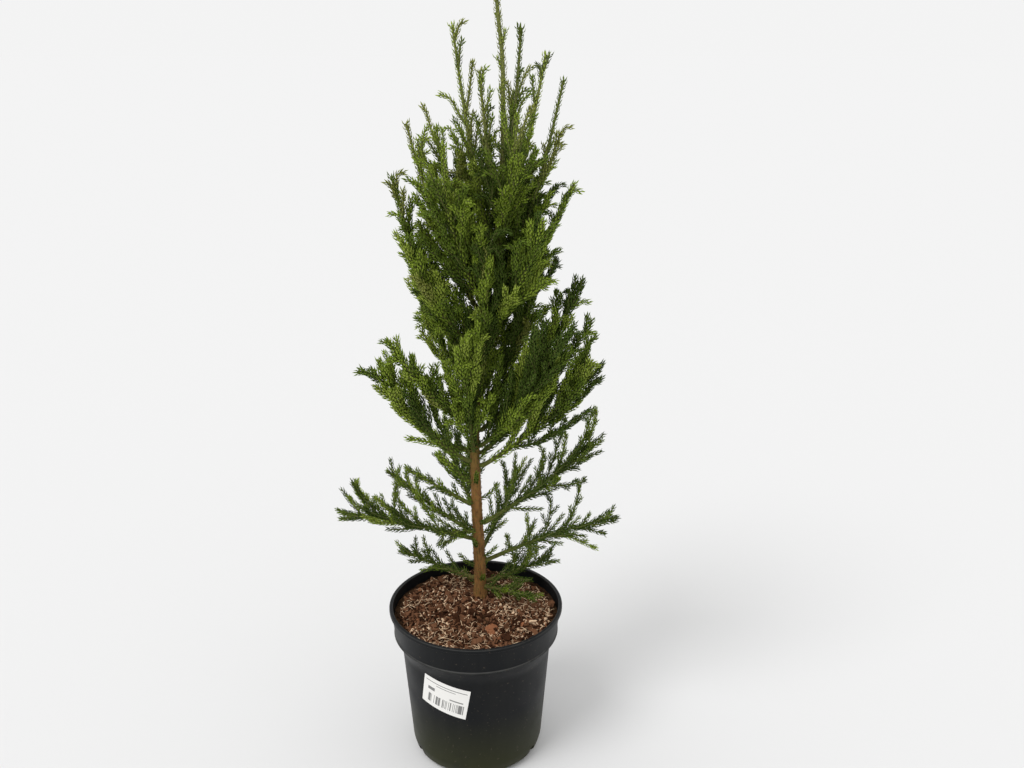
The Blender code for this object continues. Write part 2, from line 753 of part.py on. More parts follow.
def choose_shoots(room, masses):
    """Takes the shoots in turn, one from each mass, and keeps those with room, cut short if need be."""
    most = max(len(mass.shoots) for mass in masses)
    for turn in range(most):
        for mass in masses:
            if turn >= len(mass.shoots):
                continue
            shoot, parent = mass.shoots[turn]
            if parent and parent not in mass.kept:
                continue
            for share in SHORTER_TRIES:
                tried = shoot.part(0, share)
                if tried.length < SHORTEST_SHOOT:
                    break
                if room.holds(tried, shoot_radius, {mass.name}):
                    mass.kept[shoot] = tried
                    room.take(mass.name, tried, shoot_radius)
                    break


def build_crown():
    room, limbs, masses = plan_crown()
    choose_shoots(room, masses)
    for name, wood in limbs:
        count = len(wood.points) - 1
        radii = [bough_radius(i / count) for i in range(count + 1)]
        limb(f"{name}_bough", wood.points, radii, GREEN_STEM, 1)
    for mass in masses:
        loose = bpy.data.collections.new("loose")
        HELPERS.children.link(loose)
        size = (STEM_RADIUS, NEEDLE_REACH, mass.fullness)
        whorls = stem_whorls(mass.stem)
        stem = needle_shoot(f"{mass.name}_foliage", mass.stem, size, whorls, mass.bare, PARTS)
        for shoot in mass.kept.values():
            size = (SHOOT_RADIUS, NEEDLE_REACH, 0)
            needle_shoot("shoot", shoot, size, shoot_whorls(shoot), 0, loose)
        fuse(stem, loose)


build_pot()
build_sticker()
build_soil()
build_trunk()
build_crown()
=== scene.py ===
"""A young Japanese cedar in a black nursery pot: its looks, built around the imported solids.

Metres, +Z up, -Y is the front. Each section makes one piece or one group of like pieces, in the
order in which the plant is potted and grows.
"""

import json
import math
import random
from collections import namedtuple

import bmesh
import bpy
from mathutils import Matrix, Vector, noise

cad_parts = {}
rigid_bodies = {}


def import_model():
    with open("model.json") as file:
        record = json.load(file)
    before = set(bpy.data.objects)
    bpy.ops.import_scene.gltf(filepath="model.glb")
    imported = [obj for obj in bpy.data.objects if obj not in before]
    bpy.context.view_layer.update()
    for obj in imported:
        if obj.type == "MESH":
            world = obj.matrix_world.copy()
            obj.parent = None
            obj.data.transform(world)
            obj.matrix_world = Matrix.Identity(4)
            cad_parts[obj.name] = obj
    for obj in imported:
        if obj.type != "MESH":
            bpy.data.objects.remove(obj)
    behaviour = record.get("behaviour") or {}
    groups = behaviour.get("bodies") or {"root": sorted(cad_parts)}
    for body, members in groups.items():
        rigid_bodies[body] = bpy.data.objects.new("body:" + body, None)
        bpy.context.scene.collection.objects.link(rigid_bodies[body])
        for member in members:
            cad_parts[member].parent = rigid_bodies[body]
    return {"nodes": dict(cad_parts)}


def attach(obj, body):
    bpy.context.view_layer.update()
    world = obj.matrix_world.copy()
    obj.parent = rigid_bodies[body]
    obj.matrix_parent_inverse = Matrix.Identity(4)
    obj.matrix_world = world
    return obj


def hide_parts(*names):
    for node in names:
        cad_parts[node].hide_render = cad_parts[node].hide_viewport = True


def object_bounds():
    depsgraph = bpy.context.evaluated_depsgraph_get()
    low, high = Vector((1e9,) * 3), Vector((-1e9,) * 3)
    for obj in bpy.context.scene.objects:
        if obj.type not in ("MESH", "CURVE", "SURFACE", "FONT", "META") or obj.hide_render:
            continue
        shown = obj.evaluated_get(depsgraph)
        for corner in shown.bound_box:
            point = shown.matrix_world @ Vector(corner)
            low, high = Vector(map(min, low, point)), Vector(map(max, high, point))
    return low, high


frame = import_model()
cad_box = [list(corner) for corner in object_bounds()]

# Pot: one injection-moulded polypropylene wall with a rolled lip, a stacking collar that steps in
# to a tapering body, and six drain holes cut through the corner of its foot. Satin black, with
# faint runs of hard water and a green bloom of algae low down.
MM = 0.001
CM = 0.01
POT_SIDES = 128
# The wall's corners: radius, height and bend in millimetres
POT_INSIDE = [
    (0, 1.6, 0),
    (62.6, 1.6, 3),
    (71.4, 14, 4),
    (80.4, 129, 5),
    (88.0, 145, 3),
    (91.0, 172, 0.5),
    (91.0, 176, 0.7),
]
POT_OUTSIDE = [
    (95.0, 176, 1.1),
    (95.0, 172, 0.7),
    (92.6, 171.6, 0.3),
    (89.8, 146.6, 0.2),
    (90.3, 146.0, 0.3),
    (90.3, 144.8, 0.3),
    (89.4, 144.2, 1.5),
    (82.0, 129, 5),
    (73.0, 14, 3),
    (70.4, 5, 2),
    (64.0, 0, 1.2),
    (53.0, 0, 0.4),
    (52.0, 0.5, 0.4),
    (0, 0.5, 0),
]
CORNER_PIECES = 4
DRAIN_HOLES = 6
DRAIN_SIDES = 24
DRAIN_RADIUS = 6 * MM
DRAIN_LENGTH = 30 * MM
DRAIN_CENTRE = 65 * MM
DRAIN_LEVEL = 2 * MM
DRAIN_TILT = 58
SHARP_EDGE = 38
POLE_RADIUS = 0.01 * MM
# Height and half width of the bands along the collar's ridge and the lip that are painted pale as a
# highlight
RIDGE_HIGHLIGHT = (145.8 * MM, 1.1 * MM)
LIP_HIGHLIGHT = (175.6 * MM, 0.4 * MM)
# The algae thin out from the foot up to the first of these heights
BLOOM_TOP = 80 * MM
BLOOM_FOOT = 4 * MM
PLASTIC_ROUGHNESS = (0.32, 0.6)
PLASTIC_BLACK = (0.003, 0.0038, 0.0048)
HARD_WATER = (0.016, 0.016, 0.014)
ALGAE_GREEN = (0.025, 0.027, 0.008)
HIGHLIGHT_GREY = (0.09, 0.09, 0.085)
DIRT_BROWN = (0.07, 0.055, 0.04)


def shares(count):
    """The shares from 0 to 1 in even steps."""
    return [i / count for i in range(count + 1)]


def turns(count):
    """The angles of points spread evenly round a circle."""
    return [math.tau * k / count for k in range(count)]


def bent(start, corner, end, share):
    """The point at a share of a curve that leaves start towards the corner and bends to the end."""
    return start.lerp(corner, share).lerp(corner.lerp(end, share), share)


def rounded(corners):
    """(radius, height) points along (radius, height, bend) corners in millimetres, each bend an arc."""
    points = []
    for i, (radius, height, bend) in enumerate(corners):
        here = Vector((radius, height)) * MM
        if not bend:
            points.append(here)
            continue
        before = Vector(corners[i - 1][:2]) * MM
        after = Vector(corners[i + 1][:2]) * MM
        start = here + (before - here).normalized() * bend * MM
        end = here + (after - here).normalized() * bend * MM
        points += [bent(start, here, end, share) for share in shares(CORNER_PIECES)]
    return points


def turned_rings(profile, sides):
    """Rings of points about Z, one for each (radius, height). A radius of 0 gives a pole."""
    rings = []
    for radius, height in profile:
        around = turns(sides if radius > POLE_RADIUS else 1)
        rings.append([Vector((radius * math.cos(t), radius * math.sin(t), height)) for t in around])
    return rings


def skin(name, ring_sets):
    """A mesh of closed shells, each stretched over its rings of points and smooth but for its edges."""
    points = []
    faces = []
    for rings in ring_sets:
        starts = []
        for ring in rings:
            starts.append(len(points))
            points.extend(ring)
        for i in range(len(rings) - 1):
            low, high = starts[i], starts[i + 1]
            count = max(len(rings[i]), len(rings[i + 1]))
            for k in range(count):
                after = (k + 1) % count
                if len(rings[i]) == 1:
                    faces.append((low, high + after, high + k))
                elif len(rings[i + 1]) == 1:
                    faces.append((low + k, low + after, high))
                else:
                    faces.append((low + k, low + after, high + after, high + k))
    mesh = bpy.data.meshes.new(name)
    mesh.from_pydata(points, [], faces)
    shape = bmesh.new()
    shape.from_mesh(mesh)
    bmesh.ops.recalc_face_normals(shape, faces=shape.faces)
    shape.to_mesh(mesh)
    shape.free()
    mesh.polygons.foreach_set("use_smooth", [True] * len(mesh.polygons))
    mesh.set_sharp_from_angle(angle=math.radians(SHARP_EDGE))
    return mesh


def add_piece(name, mesh, *finishes):
    made = bpy.data.objects.new(name, mesh)
    for finish in finishes:
        mesh.materials.append(finish)
    bpy.context.scene.collection.objects.link(made)
    return made


def settled_mesh(piece):
    """The piece's mesh with its modifiers applied, as a new data block."""
    bpy.context.view_layer.update()
    graph = bpy.context.evaluated_depsgraph_get()
    return bpy.data.meshes.new_from_object(piece.evaluated_get(graph))


def wire(tree, kind, sockets=(), **settings):
    """Adds a node. Each socket gets a value, another node's first output, or a given output."""
    made = tree.nodes.new(kind)
    for name, value in settings.items():
        setattr(made, name, value)
    for name, value in dict(sockets).items():
        if isinstance(value, bpy.types.Node):
            tree.links.new(value.outputs[0], made.inputs[name])
        elif isinstance(value, bpy.types.NodeSocket):
            tree.links.new(value, made.inputs[name])
        else:
            made.inputs[name].default_value = value
    return made


def maths(tree, operation, *values):
    return wire(tree, "ShaderNodeMath", dict(enumerate(values)), operation=operation)


def times(tree, first, second):
    return maths(tree, "MULTIPLY", first, second)


def ramp(tree, value, start, end, low=0.0, high=1.0):
    """The value's place between start and end, as a number from low to high."""
    limits = {"From Min": start, "From Max": end, "To Min": low, "To Max": high}
    return wire(tree, "ShaderNodeMapRange", {"Value": value, **limits})


def object_spot(tree):
    return wire(tree, "ShaderNodeTexCoord").outputs["Object"]


def clouds(tree, spot, scale, detail):
    return wire(tree, "ShaderNodeTexNoise", {"Vector": spot, "Scale": scale, "Detail": detail})


def height_of(tree, spot):
    return wire(tree, "ShaderNodeSeparateXYZ", {0: spot}).outputs["Z"]


def new_finish(name, roughness, colour=(0.5, 0.5, 0.5), shine=0.25):
    """(material, its node tree, its Principled shader), with a plain roughness, colour and shine."""
    made = bpy.data.materials.new(name)
    made.use_nodes = True
    shader = made.node_tree.nodes["Principled BSDF"]
    shader.inputs["Roughness"].default_value = roughness
    shader.inputs["Specular IOR Level"].default_value = shine
    shader.inputs["Base Color"].default_value = (*colour, 1)
    return made, made.node_tree, shader


def new_group(name, kind, inputs, outputs):
    """An empty node group with named sockets: (group, its inputs, its output node)."""
    group = bpy.data.node_groups.new(name, kind)
    for way, sockets in (("INPUT", inputs), ("OUTPUT", outputs)):
        for label, socket in sockets.items():
            group.interface.new_socket(label, in_out=way, socket_type="NodeSocket" + socket)
    return group, group.nodes.new("NodeGroupInput").outputs, group.nodes.new("NodeGroupOutput")


def patches_effect():
    """Soft-edged patches: Cover is how much of the surface they take, from 0 to 1."""
    inputs = {"Vector": "Vector", "Scale": "Float", "Cover": "Float", "Softness": "Float"}
    group, given, result = new_group("patches", "ShaderNodeTree", inputs, {"Mask": "Float"})
    cloud = clouds(group, given["Vector"], given["Scale"], 6.0)
    edge = maths(group, "SUBTRACT", 0.72, given["Cover"])
    mask = ramp(group, cloud, edge, maths(group, "ADD", edge, given["Softness"]))
    mask.interpolation_type = "SMOOTHSTEP"
    group.links.new(mask.outputs[0], result.inputs["Mask"])
    return group


PATCHES = patches_effect()


def patches(tree, vector, scale, cover, softness):
    sockets = {"Vector": vector, "Scale": scale, "Cover": cover, "Softness": softness}
    return wire(tree, "ShaderNodeGroup", sockets, node_tree=PATCHES)


def blended(tree, share, first, second):
    """A colour between two: each is a colour or another blend."""
    colours = [c if isinstance(c, bpy.types.NodeSocket) else (*c, 1) for c in (first, second)]
    sockets = {"Factor": share, 6: colours[0], 7: colours[1]}
    return wire(tree, "ShaderNodeMix", sockets, data_type="RGBA").outputs[2]


def stretched(tree, spot, scale):
    return wire(tree, "ShaderNodeMapping", {"Vector": spot, "Scale": scale}).outputs[0]


def paint(tree, shader, colour):
    tree.links.new(colour, shader.inputs["Base Color"])


def roughen(tree, shader, height, strength, distance):
    """Gives the shader a relief."""
    sockets = {"Height": height, "Strength": strength, "Distance": distance}
    tree.links.new(wire(tree, "ShaderNodeBump", sockets).outputs[0], shader.inputs["Normal"])


def black_plastic():
    made, tree, shader = new_finish("satin_black_plastic", 0.42, shine=0.15)
    spot = object_spot(tree)
    height = height_of(tree, spot)
    low = ramp(tree, height, BLOOM_TOP, BLOOM_FOOT)
    # The collar's ridge and the lip get pale grey patches here: a painted highlight
    ridge = maths(tree, "COMPARE", height, *RIDGE_HIGHLIGHT)
    lip = maths(tree, "COMPARE", height, *LIP_HIGHLIGHT)
    highlit = maths(tree, "MAXIMUM", ridge, times(tree, lip, 0.5))
    painted_highlight = times(tree, highlit, patches(tree, spot, 55.0, 0.5, 0.3))
    bloom = times(tree, low, patches(tree, spot, 22.0, 0.55, 0.3))
    runs = patches(tree, stretched(tree, spot, (75, 75, 6)), 1.0, 0.34, 0.3)
    specks = patches(tree, spot, 320.0, 0.07, 0.05)
    colour = blended(tree, times(tree, runs, 0.2), PLASTIC_BLACK, HARD_WATER)
    colour = blended(tree, bloom, colour, ALGAE_GREEN)
    colour = blended(tree, times(tree, painted_highlight, 0.5), colour, HIGHLIGHT_GREY)
    paint(tree, shader, blended(tree, times(tree, specks, 0.5), colour, DIRT_BROWN))
    gloss = ramp(tree, clouds(tree, spot, 30.0, 5.0), 0.0, 1.0, *PLASTIC_ROUGHNESS)
    tree.links.new(gloss.outputs[0], shader.inputs["Roughness"])
    roughen(tree, shader, clouds(tree, spot, 1300.0, 2.0), 0.12, 0.1 * MM)
    return made


wall = turned_rings(rounded(POT_INSIDE + POT_OUTSIDE), POT_SIDES)
pot = add_piece("pot_shell", skin("pot_shell", [wall]), black_plastic())
drains = bpy.data.collections.new("drains")
bpy.context.scene.collection.children.link(drains)
for i in range(DRAIN_HOLES):
    turn = math.tau * (i + 0.5) / DRAIN_HOLES
    end = DRAIN_LENGTH / 2
    rod = turned_rings([(0, -end), (DRAIN_RADIUS, -end), (DRAIN_RADIUS, end), (0, end)], DRAIN_SIDES)
    drain = bpy.data.objects.new("drain", skin("drain", [rod]))
    drain.location = (math.cos(turn) * DRAIN_CENTRE, math.sin(turn) * DRAIN_CENTRE, DRAIN_LEVEL)
    drain.rotation_euler = (0, math.radians(DRAIN_TILT), turn)
    drains.objects.link(drain)
cut = pot.modifiers.new("drains", "BOOLEAN")
cut.operand_type = "COLLECTION"
cut.collection = drains
cut.solver = "EXACT"
pot.data = settled_mesh(pot)
pot.modifiers.clear()
for drain in list(drains.objects):
    bpy.data.objects.remove(drain)
bpy.data.collections.remove(drains)
pot.data.set_sharp_from_angle(angle=math.radians(SHARP_EDGE))
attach(pot, "root")
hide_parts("pot")

# Growing mix: moist peat and composted bark that fills the pot to a finger's width under its lip and
# heaps a little round the trunk. Its top is covered by loose bark chips, crumbs and pale straw-like
# fibres, strewn at random.
HEAP_HEIGHT = 171 * MM
SOIL_LEVEL = 164.5 * MM
# Shares of the way from the trunk to the wall between which the heap falls
HEAP_FALL = (0.1, 0.75)
SOIL_RIPPLE = 1.1 * MM
RIPPLES_ACROSS = 95
RIPPLES_DEEP = 80
SOIL_LUMP = 1.5 * MM
LUMPS = 150
SOIL_RIM = 89.7 * MM
SOIL_SIDES = 150
SOIL_RINGS = 56
SOIL_BELOW = [(87.7, 145.4), (80.1, 129.4), (71.1, 14.4), (63.4, 2.0), (0, 2.0)]
TRUNK_FOOT = Vector((4.3 * MM, 20 * MM, HEAP_HEIGHT + 0.3 * MM))
CHIP_KEEP_OFF = 5 * MM
PEAT_DARK = (0.011, 0.005, 0.0025)
PEAT_PALE = (0.06, 0.03, 0.014)
CHIP_CORNERS = 7
# Length, least and greatest width, and thickness of a chip and a slab in millimetres
CHIP_SIZE = (6, 2.2, 4, 1.1)
SLAB_SIZE = (12, 6, 9, 2.2)
STRAW_PIECES = 5
STRAW_LENGTH = 12 * MM
STRAW_THICKNESS = 0.34 * MM
# How far a straw bends aside and arches up, as shares of its length
STRAW_SWAY = 0.16
STRAW_ARCH = (0.02, 0.14)
STREWING_NUMBERS = ("Spacing", "Density", "Smallest", "Largest", "Tip", "Lift", "Clump")
BIG_CHIP_LIFT = 3.4 * MM
BIG_CHIP_THICKNESS = 2.6 * MM
BIG_CHIP_TIP = 0.3


def mix(a, b, share):
    return a + (b - a) * share


def smooth(start, end, value):
    share = min(1, max(0, (value - start) / (end - start)))
    return share * share * (3 - 2 * share)


def soil_point(turn, share):
    """A point of the surface, where share is 0 at the trunk and 1 at the pot's wall."""
    x = SOIL_RIM * share * math.cos(turn) + TRUNK_FOOT.x * (1 - share)
    y = SOIL_RIM * share * math.sin(turn) + TRUNK_FOOT.y * (1 - share)
    ripple = SOIL_RIPPLE * math.sin(RIPPLES_ACROSS * x + 1.3) * math.cos(RIPPLES_DEEP * y - 0.6)
    edge = smooth(0.1, 0.3, share) * (1 - smooth(0.85, 1, share))
    lump = SOIL_LUMP * noise.fractal(Vector((x, y, 0)) * LUMPS, 0.8, 2.1, 4) * smooth(0.05, 0.2, share)
    heap = mix(HEAP_HEIGHT, SOIL_LEVEL, smooth(*HEAP_FALL, share))
    return Vector((x, y, heap + ripple * edge + lump))


def soil_rings():
    rings = [[soil_point(0, 0)]]
    for share in shares(SOIL_RINGS)[1:]:
        rings.append([soil_point(turn, share) for turn in turns(SOIL_SIDES)])
    return rings


def peat():
    made, tree, shader = new_finish("moist_peat", 0.95, shine=0.08)
    spot = object_spot(tree)
    dry = patches(tree, spot, 260.0, 0.4, 0.25)
    paint(tree, shader, blended(tree, dry, PEAT_DARK, PEAT_PALE))
    crumbs = wire(tree, "ShaderNodeTexVoronoi", {"Vector": spot, "Scale": 700.0})
    roughen(tree, shader, crumbs, 0.9, 1.2 * MM)
    return made


def growth_tree(name, inputs):
    """An empty Geometry Nodes tree with named inputs: (tree, its inputs, its output node)."""
    shape = {"Geometry": "Geometry"}
    return new_group(name, "GeometryNodeTree", {**shape, **inputs}, shape)


def grown(name, bed, tree, values):
    """Runs the tree on the bed, and returns what grew there as a plain piece."""
    step = bed.modifiers.new("growth", "NODES")
    step.node_group = tree
    for socket in tree.interface.items_tree:
        if socket.in_out == "INPUT" and socket.name in values:
            step[socket.identifier] = values[socket.name]
    mesh = settled_mesh(bed)
    bed.modifiers.remove(step)
    mesh.name = name
    return add_piece(name, mesh)


def vector(tree, x, y, z):
    return wire(tree, "ShaderNodeCombineXYZ", {0: x, 1: y, 2: z})


def random_angles(tree, low, high, seed):
    sockets = {0: low, 1: high, "Seed": seed}
    return wire(tree, "FunctionNodeRandomValue", sockets, data_type="FLOAT_VECTOR")


def turned(tree, facing, angles):
    """The rotation, turned further by the angles about its own axes."""
    turn = wire(tree, "FunctionNodeEulerToRotation", {0: angles})
    return wire(tree, "FunctionNodeRotateRotation", {0: facing, 1: turn}, rotation_space="LOCAL")


def real_with(tree, shape, material):
    """The shape with its instances made real, and its material."""
    real = wire(tree, "GeometryNodeRealizeInstances", {0: shape})
    return wire(tree, "GeometryNodeSetMaterial", {"Geometry": real, "Material": material})


def strewing_tree():
    """Strews the pieces of a collection over a surface, spun at random and tipped a little."""
    inputs = {"Chips": "Collection", **dict.fromkeys(STREWING_NUMBERS, "Float")}
    inputs.update({"Seed": "Int", "Material": "Material"})
    tree, given, result = growth_tree("strewing", inputs)
    cloud = wire(tree, "ShaderNodeTexNoise", {"W": given["Seed"], "Scale": 32.0}, noise_dimensions="4D")
    chosen = wire(tree, "FunctionNodeCompare", {0: cloud, 1: given["Clump"]}, operation="GREATER_THAN")
    sockets = {
        "Mesh": given["Geometry"],
        "Selection": chosen,
        "Distance Min": given["Spacing"],
        "Density Max": given["Density"],
        "Seed": given["Seed"],
    }
    spots = wire(tree, "GeometryNodeDistributePointsOnFaces", sockets, distribute_method="POISSON")
    low_tip = times(tree, given["Tip"], -1.0)
    low = vector(tree, low_tip, low_tip, 0.0)
    high = vector(tree, given["Tip"], given["Tip"], math.tau)
    turn = turned(tree, spots.outputs["Rotation"], random_angles(tree, low, high, given["Seed"]))
    sockets = {2: given["Smallest"], 3: given["Largest"], "Seed": given["Seed"]}
    size = wire(tree, "FunctionNodeRandomValue", sockets)
    sockets = {"Geometry": spots.outputs["Points"], "Offset": vector(tree, 0.0, 0.0, given["Lift"])}
    raised = wire(tree, "GeometryNodeSetPosition", sockets)
    sockets = {0: given["Chips"], "Separate Children": True, "Reset Children": True}
    chips = wire(tree, "GeometryNodeCollectionInfo", sockets)
    sockets = {"Points": raised, "Instance": chips, "Pick Instance": True, "Rotation": turn}
    placed = wire(tree, "GeometryNodeInstanceOnPoints", {**sockets, "Scale": size.outputs[1]})
    tree.links.new(real_with(tree, placed, given["Material"]).outputs[0], result.inputs[0])
    return tree


def strew(name, bed, shapes, spacing, density, sizes, tip, lift, clump, seed, finish):
    """Loose shapes on a bed: spacing and lift are millimetres, density is a count a square metre."""
    numbers = (spacing * MM, float(density), *sizes, tip, lift * MM, float(clump))
    values = {"Chips": shapes, "Seed": seed, "Material": finish, **dict(zip(STREWING_NUMBERS, numbers))}
    return grown(name, bed, STREWING, values)


def bark_chip(chance, length, width, thickness):
    """A broken flake of bark: two ragged outlines, one above the other, and a point on each side."""
    rings = [[Vector((0, 0, -thickness / 2))]]
    for level in (-1, 1):
        ring = []
        for turn in turns(CHIP_CORNERS):
            ragged = chance.uniform(0.7, 1.15)
            x = length / 2 * math.cos(turn) * ragged
            y = width / 2 * math.sin(turn) * ragged
            ring.append(Vector((x, y, thickness * (level * 0.5 + chance.uniform(-0.3, 0.3)))))
        rings.append(ring)
    rings.append([Vector((0, 0, thickness * 0.7))])
    return rings


def flakes(chance, count, length, narrow, wide, thickness):
    """Chips that differ in width, all measures in millimetres."""
    found = []
    for _ in range(count):
        width = chance.uniform(narrow, wide) * MM
        found.append(bark_chip(chance, length * MM, width, thickness * MM))
    return found


def turned_vector(turn, radius):
    return Vector((0, math.cos(turn) * radius, math.sin(turn) * radius))


def straw(chance, length, thickness):
    """A bent, three-sided fibre."""
    sway = chance.uniform(-STRAW_SWAY, STRAW_SWAY) * length
    arch = chance.uniform(*STRAW_ARCH) * length
    middles = []
    for share in shares(STRAW_PIECES):
        bend = 4 * share * (1 - share)
        middles.append(Vector((length * (share - 0.5), sway * bend, arch * bend)))
    rings = [[middles[0]]]
    for middle in middles[1:-1]:
        rings.append([middle + turned_vector(turn, thickness) for turn in turns(3)])
    rings.append([middles[-1]])
    return rings


def litter(name, shapes):
    """A collection of loose shapes, to be strewn and then removed."""
    made = bpy.data.collections.new(name)
    bpy.context.scene.collection.children.link(made)
    for rings in shapes:
        made.objects.link(bpy.data.objects.new(name, skin(name, [rings])))
    return made


def clear_litter(collection):
    for shape in list(collection.objects):
        bpy.data.objects.remove(shape)
    bpy.data.collections.remove(collection)


def chip_finish(name, dark, pale, roughness):
    """Dry bark or wood: two tones in fine streaks, with a rough grain."""
    made, tree, shader = new_finish(name, roughness, shine=0.08)
    spot = object_spot(tree)
    paint(tree, shader, blended(tree, patches(tree, spot, 420.0, 0.5, 0.3), dark, pale))
    roughen(tree, shader, clouds(tree, spot, 1500.0, 3.0), 0.5, 0.3 * MM)
    return made


top_rings = soil_rings()
below = turned_rings([(radius * MM, height * MM) for radius, height in SOIL_BELOW], SOIL_SIDES)
soil = add_piece("peat_mix", skin("peat_mix", [top_rings + below]), peat())
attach(soil, "root")
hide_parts("growing_mix")

bed_reach = SOIL_RIM - CHIP_KEEP_OFF
bed_rings = [ring for i, ring in enumerate(top_rings) if i / SOIL_RINGS * SOIL_RIM < bed_reach]
bed = add_piece("strewing_bed", skin("strewing_bed", [bed_rings]))
STREWING = strewing_tree()
chance = random.Random(5)
chips = litter("chip", flakes(chance, 7, *CHIP_SIZE))
slabs = litter("slab", flakes(chance, 5, *SLAB_SIZE))
straws = litter("straw", [straw(chance, STRAW_LENGTH, STRAW_THICKNESS) for _ in range(8)])
BLACK_BARK = chip_finish("black_bark", (0.01, 0.0035, 0.0015), (0.042, 0.016, 0.007), 0.9)
BROWN_BARK = chip_finish("brown_bark", (0.036, 0.015, 0.0065), (0.155, 0.072, 0.037), 0.9)
TAN_BARK = chip_finish("tan_bark", (0.26, 0.15, 0.08), (0.7, 0.5, 0.33), 0.9)
RED_BARK = chip_finish("red_bark", (0.1, 0.034, 0.014), (0.27, 0.11, 0.052), 0.85)
STRAW = chip_finish("straw", (0.22, 0.125, 0.06), (0.72, 0.52, 0.34), 0.9)
# name, shapes, spacing, density, smallest and largest size, tip, lift, clump, seed, finish
STREWN = [
    ("black_chips", chips, 1.8, 150000, (0.5, 1.3), 0.9, 0.2, 0, 1, BLACK_BARK),
    ("brown_chips", chips, 2.1, 100000, (0.5, 1.3), 1.0, 1.0, 0.35, 2, BROWN_BARK),
    ("tan_chips", chips, 3.6, 36000, (0.35, 0.95), 1.0, 1.4, 0.45, 3, TAN_BARK),
    ("black_slabs", slabs, 5.0, 20000, (0.45, 1.0), 1.0, 1.4, 0.5, 4, BLACK_BARK),
    ("brown_slabs", slabs, 6.0, 13000, (0.4, 0.95), 1.0, 1.5, 0.44, 5, BROWN_BARK),
    ("red_slabs", slabs, 13.0, 2600, (0.35, 0.65), 0.9, 1.4, 0, 6, RED_BARK),
    ("straws", straws, 2.3, 80000, (0.35, 1.15), 0.45, 1.5, 0.5, 7, STRAW),
    ("stray_straws", straws, 5.0, 14000, (0.4, 1.1), 0.6, 1.6, 0, 8, STRAW),
]
for name, *values in STREWN:
    strewn = strew(name, bed, *values)
    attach(strewn, "root")
bpy.data.objects.remove(bed)
for shapes in (chips, slabs):
    clear_litter(shapes)

# The largest loose pieces: name, x, y, length, width, turn, finish
BIG_CHIPS = [
    ("big_red_chip", 19.5, -43.0, 19, 16, 60, RED_BARK),
    ("pale_chip_back", 54.2, 3.9, 11, 5, 75, TAN_BARK),
    ("pale_chip_right", 62.5, -26.5, 9, 4, 10, TAN_BARK),
    ("dark_chip_front", 34.0, -58.0, 14, 9, -20, BLACK_BARK),
    ("brown_chip_front", 2.0, -66.0, 13, 8, 15, BROWN_BARK),
    ("brown_chip_left", -44.0, -36.0, 12, 6, 60, BROWN_BARK),
]
for name, x, y, length, width, turn, finish in BIG_CHIPS:
    spin = Matrix.Rotation(math.radians(turn), 3, "Z") @ Matrix.Rotation(BIG_CHIP_TIP, 3, "X")
    middle = Vector((x * MM, y * MM, SOIL_LEVEL + BIG_CHIP_LIFT))
    shape = bark_chip(chance, length * MM, width * MM, BIG_CHIP_THICKNESS)
    chip = add_piece(name, skin(name, [[[middle + spin @ p for p in ring] for ring in shape]]), finish)
    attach(chip, "root")

# Trunk: one straight young stem, flared where it leaves the mix and leaning a little on its way up.
# Its bark is thin, red-brown and fibrous, splits lengthwise, and is still olive green in patches.
UP = Vector((0, 0, 1))
TREE_HEIGHT = 640 * MM
TRUNK_HEIGHT = 515 * MM
TRUNK_RADIUS = 6.9 * MM
TRUNK_TIP_RADIUS = 0.9 * MM
TRUNK_TAPER = 1.2
ROOT_FLARE = 1.9 * MM
FLARE_HEIGHT = 6 * MM
# Each bend of the trunk: how far it goes, and between which heights in metres
LOW_LEAN = 4 * MM
LEAN_HEIGHTS = (0.01, 0.17)
TOP_SHIFT = 31 * MM
SHIFT_HEIGHTS = (0.2, 0.5)
TIP_NOD = 6 * MM
NOD_HEIGHTS = (0.56, TREE_HEIGHT)
TRUNK_STEP = 1.3 * MM
TRUNK_SIDES = 30
TRUNK_SUNK = 3 * MM
BARK_RELIEF = 0.075
# How fine the relief's fibres are round the limb and along it, and its knots along it
FIBRES_ROUND = 2.6
FIBRES_ALONG = 55
KNOTS_ALONG = 160
KNOT_SHARE = 0.5
SPLIT_BROWN = (0.035, 0.016, 0.007)
STUB_LENGTH = 4.2 * MM
STUB_SIZES = (0.5, 1.15)


def trunk_point(height):
    """The trunk's centre at a height above its foot: it leans left, swings right, then nods back."""
    x = -LOW_LEAN * smooth(*LEAN_HEIGHTS, height)
    x += TOP_SHIFT * smooth(*SHIFT_HEIGHTS, height)
    x -= TIP_NOD * smooth(*NOD_HEIGHTS, height)
    return TRUNK_FOOT + Vector((x, 0, height))


def trunk_radius(height):
    taper = (1 - height / TREE_HEIGHT) ** TRUNK_TAPER
    flare = ROOT_FLARE * math.exp(-height / FLARE_HEIGHT)
    return mix(TRUNK_TIP_RADIUS, TRUNK_RADIUS, taper) + flare


def bark_rings(points, radii, sides, relief, seed):
    """Rings along a limb whose bark is split lengthwise, with a pole at each end."""
    rings = [[points[0]]]
    across = None
    gone = 0
    for i, (point, radius) in enumerate(zip(points, radii)):
        after = points[min(i + 1, len(points) - 1)]
        before = points[max(i - 1, 0)]
        direction = (after - before).normalized()
        if across is None:
            across = direction.orthogonal()
        across = (across - direction * across.dot(direction)).normalized()
        over = direction.cross(across)
        if i:
            gone += (point - points[i - 1]).length
        ring = []
        for turn in turns(sides):
            x, y = math.cos(turn), math.sin(turn)
            spot = Vector((x * FIBRES_ROUND, y * FIBRES_ROUND, gone * FIBRES_ALONG + seed))
            fibre = noise.fractal(spot, 0.9, 2.2, 3)
            knot = noise.noise(Vector((x, y, gone * KNOTS_ALONG + seed * 3)))
            reach = radius * (1 + relief * (fibre + KNOT_SHARE * knot))
            ring.append(point + (across * x + over * y) * reach)
        rings.append(ring)
    rings.append([points[-1]])
    return rings


